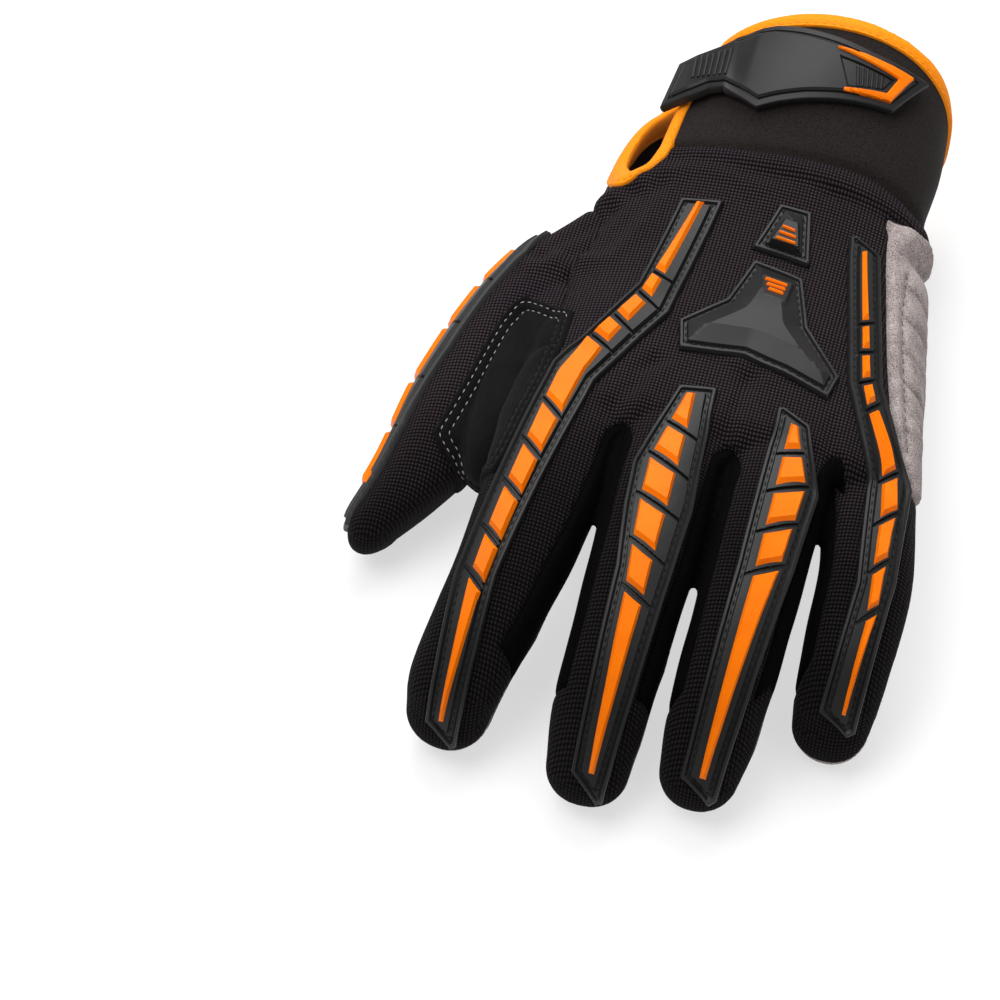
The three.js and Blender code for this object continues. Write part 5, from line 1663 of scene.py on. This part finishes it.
leather, tree, shader = material("grained black goat leather", {
    "Roughness": 0.5, "Specular IOR Level": 0.35,
})
place = add(tree, "ShaderNodeTexCoord", {}, {})["Object"]
pebbles = add(tree, "ShaderNodeTexVoronoi", {}, {"Vector": place, "Scale": 1 / (PEBBLE * MM)})["Distance"]
wear = add(tree, "ShaderNodeTexNoise", {}, {"Vector": place, "Scale": 1 / (5 * MM), "Detail": 4.0})["Fac"]
shade = add(tree, "ShaderNodeMix", {"data_type": "RGBA"}, {
    0: pebbles, 6: linear("3A3D3D"), 7: linear("17191A"),
})[2]
worn = add(tree, "ShaderNodeMix", {"data_type": "RGBA", "blend_type": "MULTIPLY"}, {
    0: wear, 6: shade, 7: linear("B9BDBD"),
})[2]
tree.links.new(worn, shader.inputs["Base Color"])
relief = add(tree, "ShaderNodeBump", {"invert": True}, {
    "Strength": 0.7, "Distance": PEBBLE_DEPTH * MM, "Height": pebbles,
})[0]
tree.links.new(relief, shader.inputs["Normal"])

turn = np.linspace(0, 2 * np.pi, HEEL_POINTS, endpoint=False)
heel_outline = np.stack([HEEL_SIZE[0] * np.cos(turn), HEEL_SIZE[1] * np.sin(turn)], 1)
pad_rows = []
for name, outline, profile, rows, fill in (
    ("heel_pad", heel_outline, HEEL_PROFILE, HEEL_ROWS, 0.7),
    ("crescent_pad", CRESCENT, CRESCENT_PROFILE, PAD_ROWS, 0.6),
):
    sheet, _ = parted(palm_sheet, depth_in(palm_sheet[0][:, PLAN], outline))
    pad, lines, _ = patch(name, sheet, profile, rows, leather, "grained_leather")
    pad_rows += lines


def in_cells(table):
    """How far points lie inside the nearest knuckle cell."""
    return np.max([depth_in(table[:, PLAN], outline) for outline in KNUCKLE_CELLS], axis=0)


sheet, _ = parted(palm_sheet, depth_in(palm_sheet[0][:, PLAN], KNUCKLE_BAND))
pad, lines, (table, faces, proud) = patch(
    "knuckle_band", sheet, BAND_PROFILE, PAD_ROWS, leather, "grained_leather",
    lambda table: np.interp(in_cells(table), CELL_PROFILE["depth"], CELL_PROFILE["swell"]),
)
pad_rows += lines
pad_rows.append(contour(proud, faces, in_cells(table) + CELL_ROW))

# Caps over the fingertips and the thumb's tip, where a glove wears first: the same leather as the
# pads, sewn on top of the suede from seam to seam.
CAP_STARTS = {"index": -107, "middle": -110, "ring": -107, "little": -93}
CAP_DROP = 5.5
CAP_ROWS = (1.4,)
THUMB_CAP = {"right": -60, "start": -58, "end": -100, "drop": 2}
CAP_PROFILE = {"edge": [0, 0.3, 0.8, 1.4, 2.1], "height": [0.4, 0.95, 1.2, 0.95, 1.2]}
for name, start in CAP_STARTS.items():
    left, right = FINGER_SPLITS[name]
    sheet, _ = parted(whole, start - whole[0][:, REST_Y])
    sheet, _ = parted(sheet, sheet[0][:, REST_X] - left)
    sheet, _ = parted(sheet, right - sheet[0][:, REST_X])
    sheet, _ = parted(sheet, finger_middle(name, sheet[0][:, REST_Y]) - CAP_DROP - sheet[0][:, REST_Z])
    _, lines, _ = patch(f"{name}_cap", sheet, CAP_PROFILE, CAP_ROWS, leather, "grained_leather")
    pad_rows += lines
sheet, _ = parted(whole, THUMB_CAP["start"] - whole[0][:, REST_Y])
sheet, _ = parted(sheet, sheet[0][:, REST_Y] - THUMB_CAP["end"])
sheet, _ = parted(sheet, THUMB_CAP["right"] - sheet[0][:, REST_X])
cap_edge = seam_sheet(sheet[0][:, PLAN], THUMB_SEAM, THUMB_SPAN) - THUMB_CAP["drop"]
sheet, _ = parted(sheet, cap_edge - sheet[0][:, REST_Z])
_, lines, _ = patch("thumb_cap", sheet, CAP_PROFILE, CAP_ROWS, leather, "grained_leather")
stitched("pad_stitches", pad_rows + lines, pale_thread, length=2, gap=1.1)
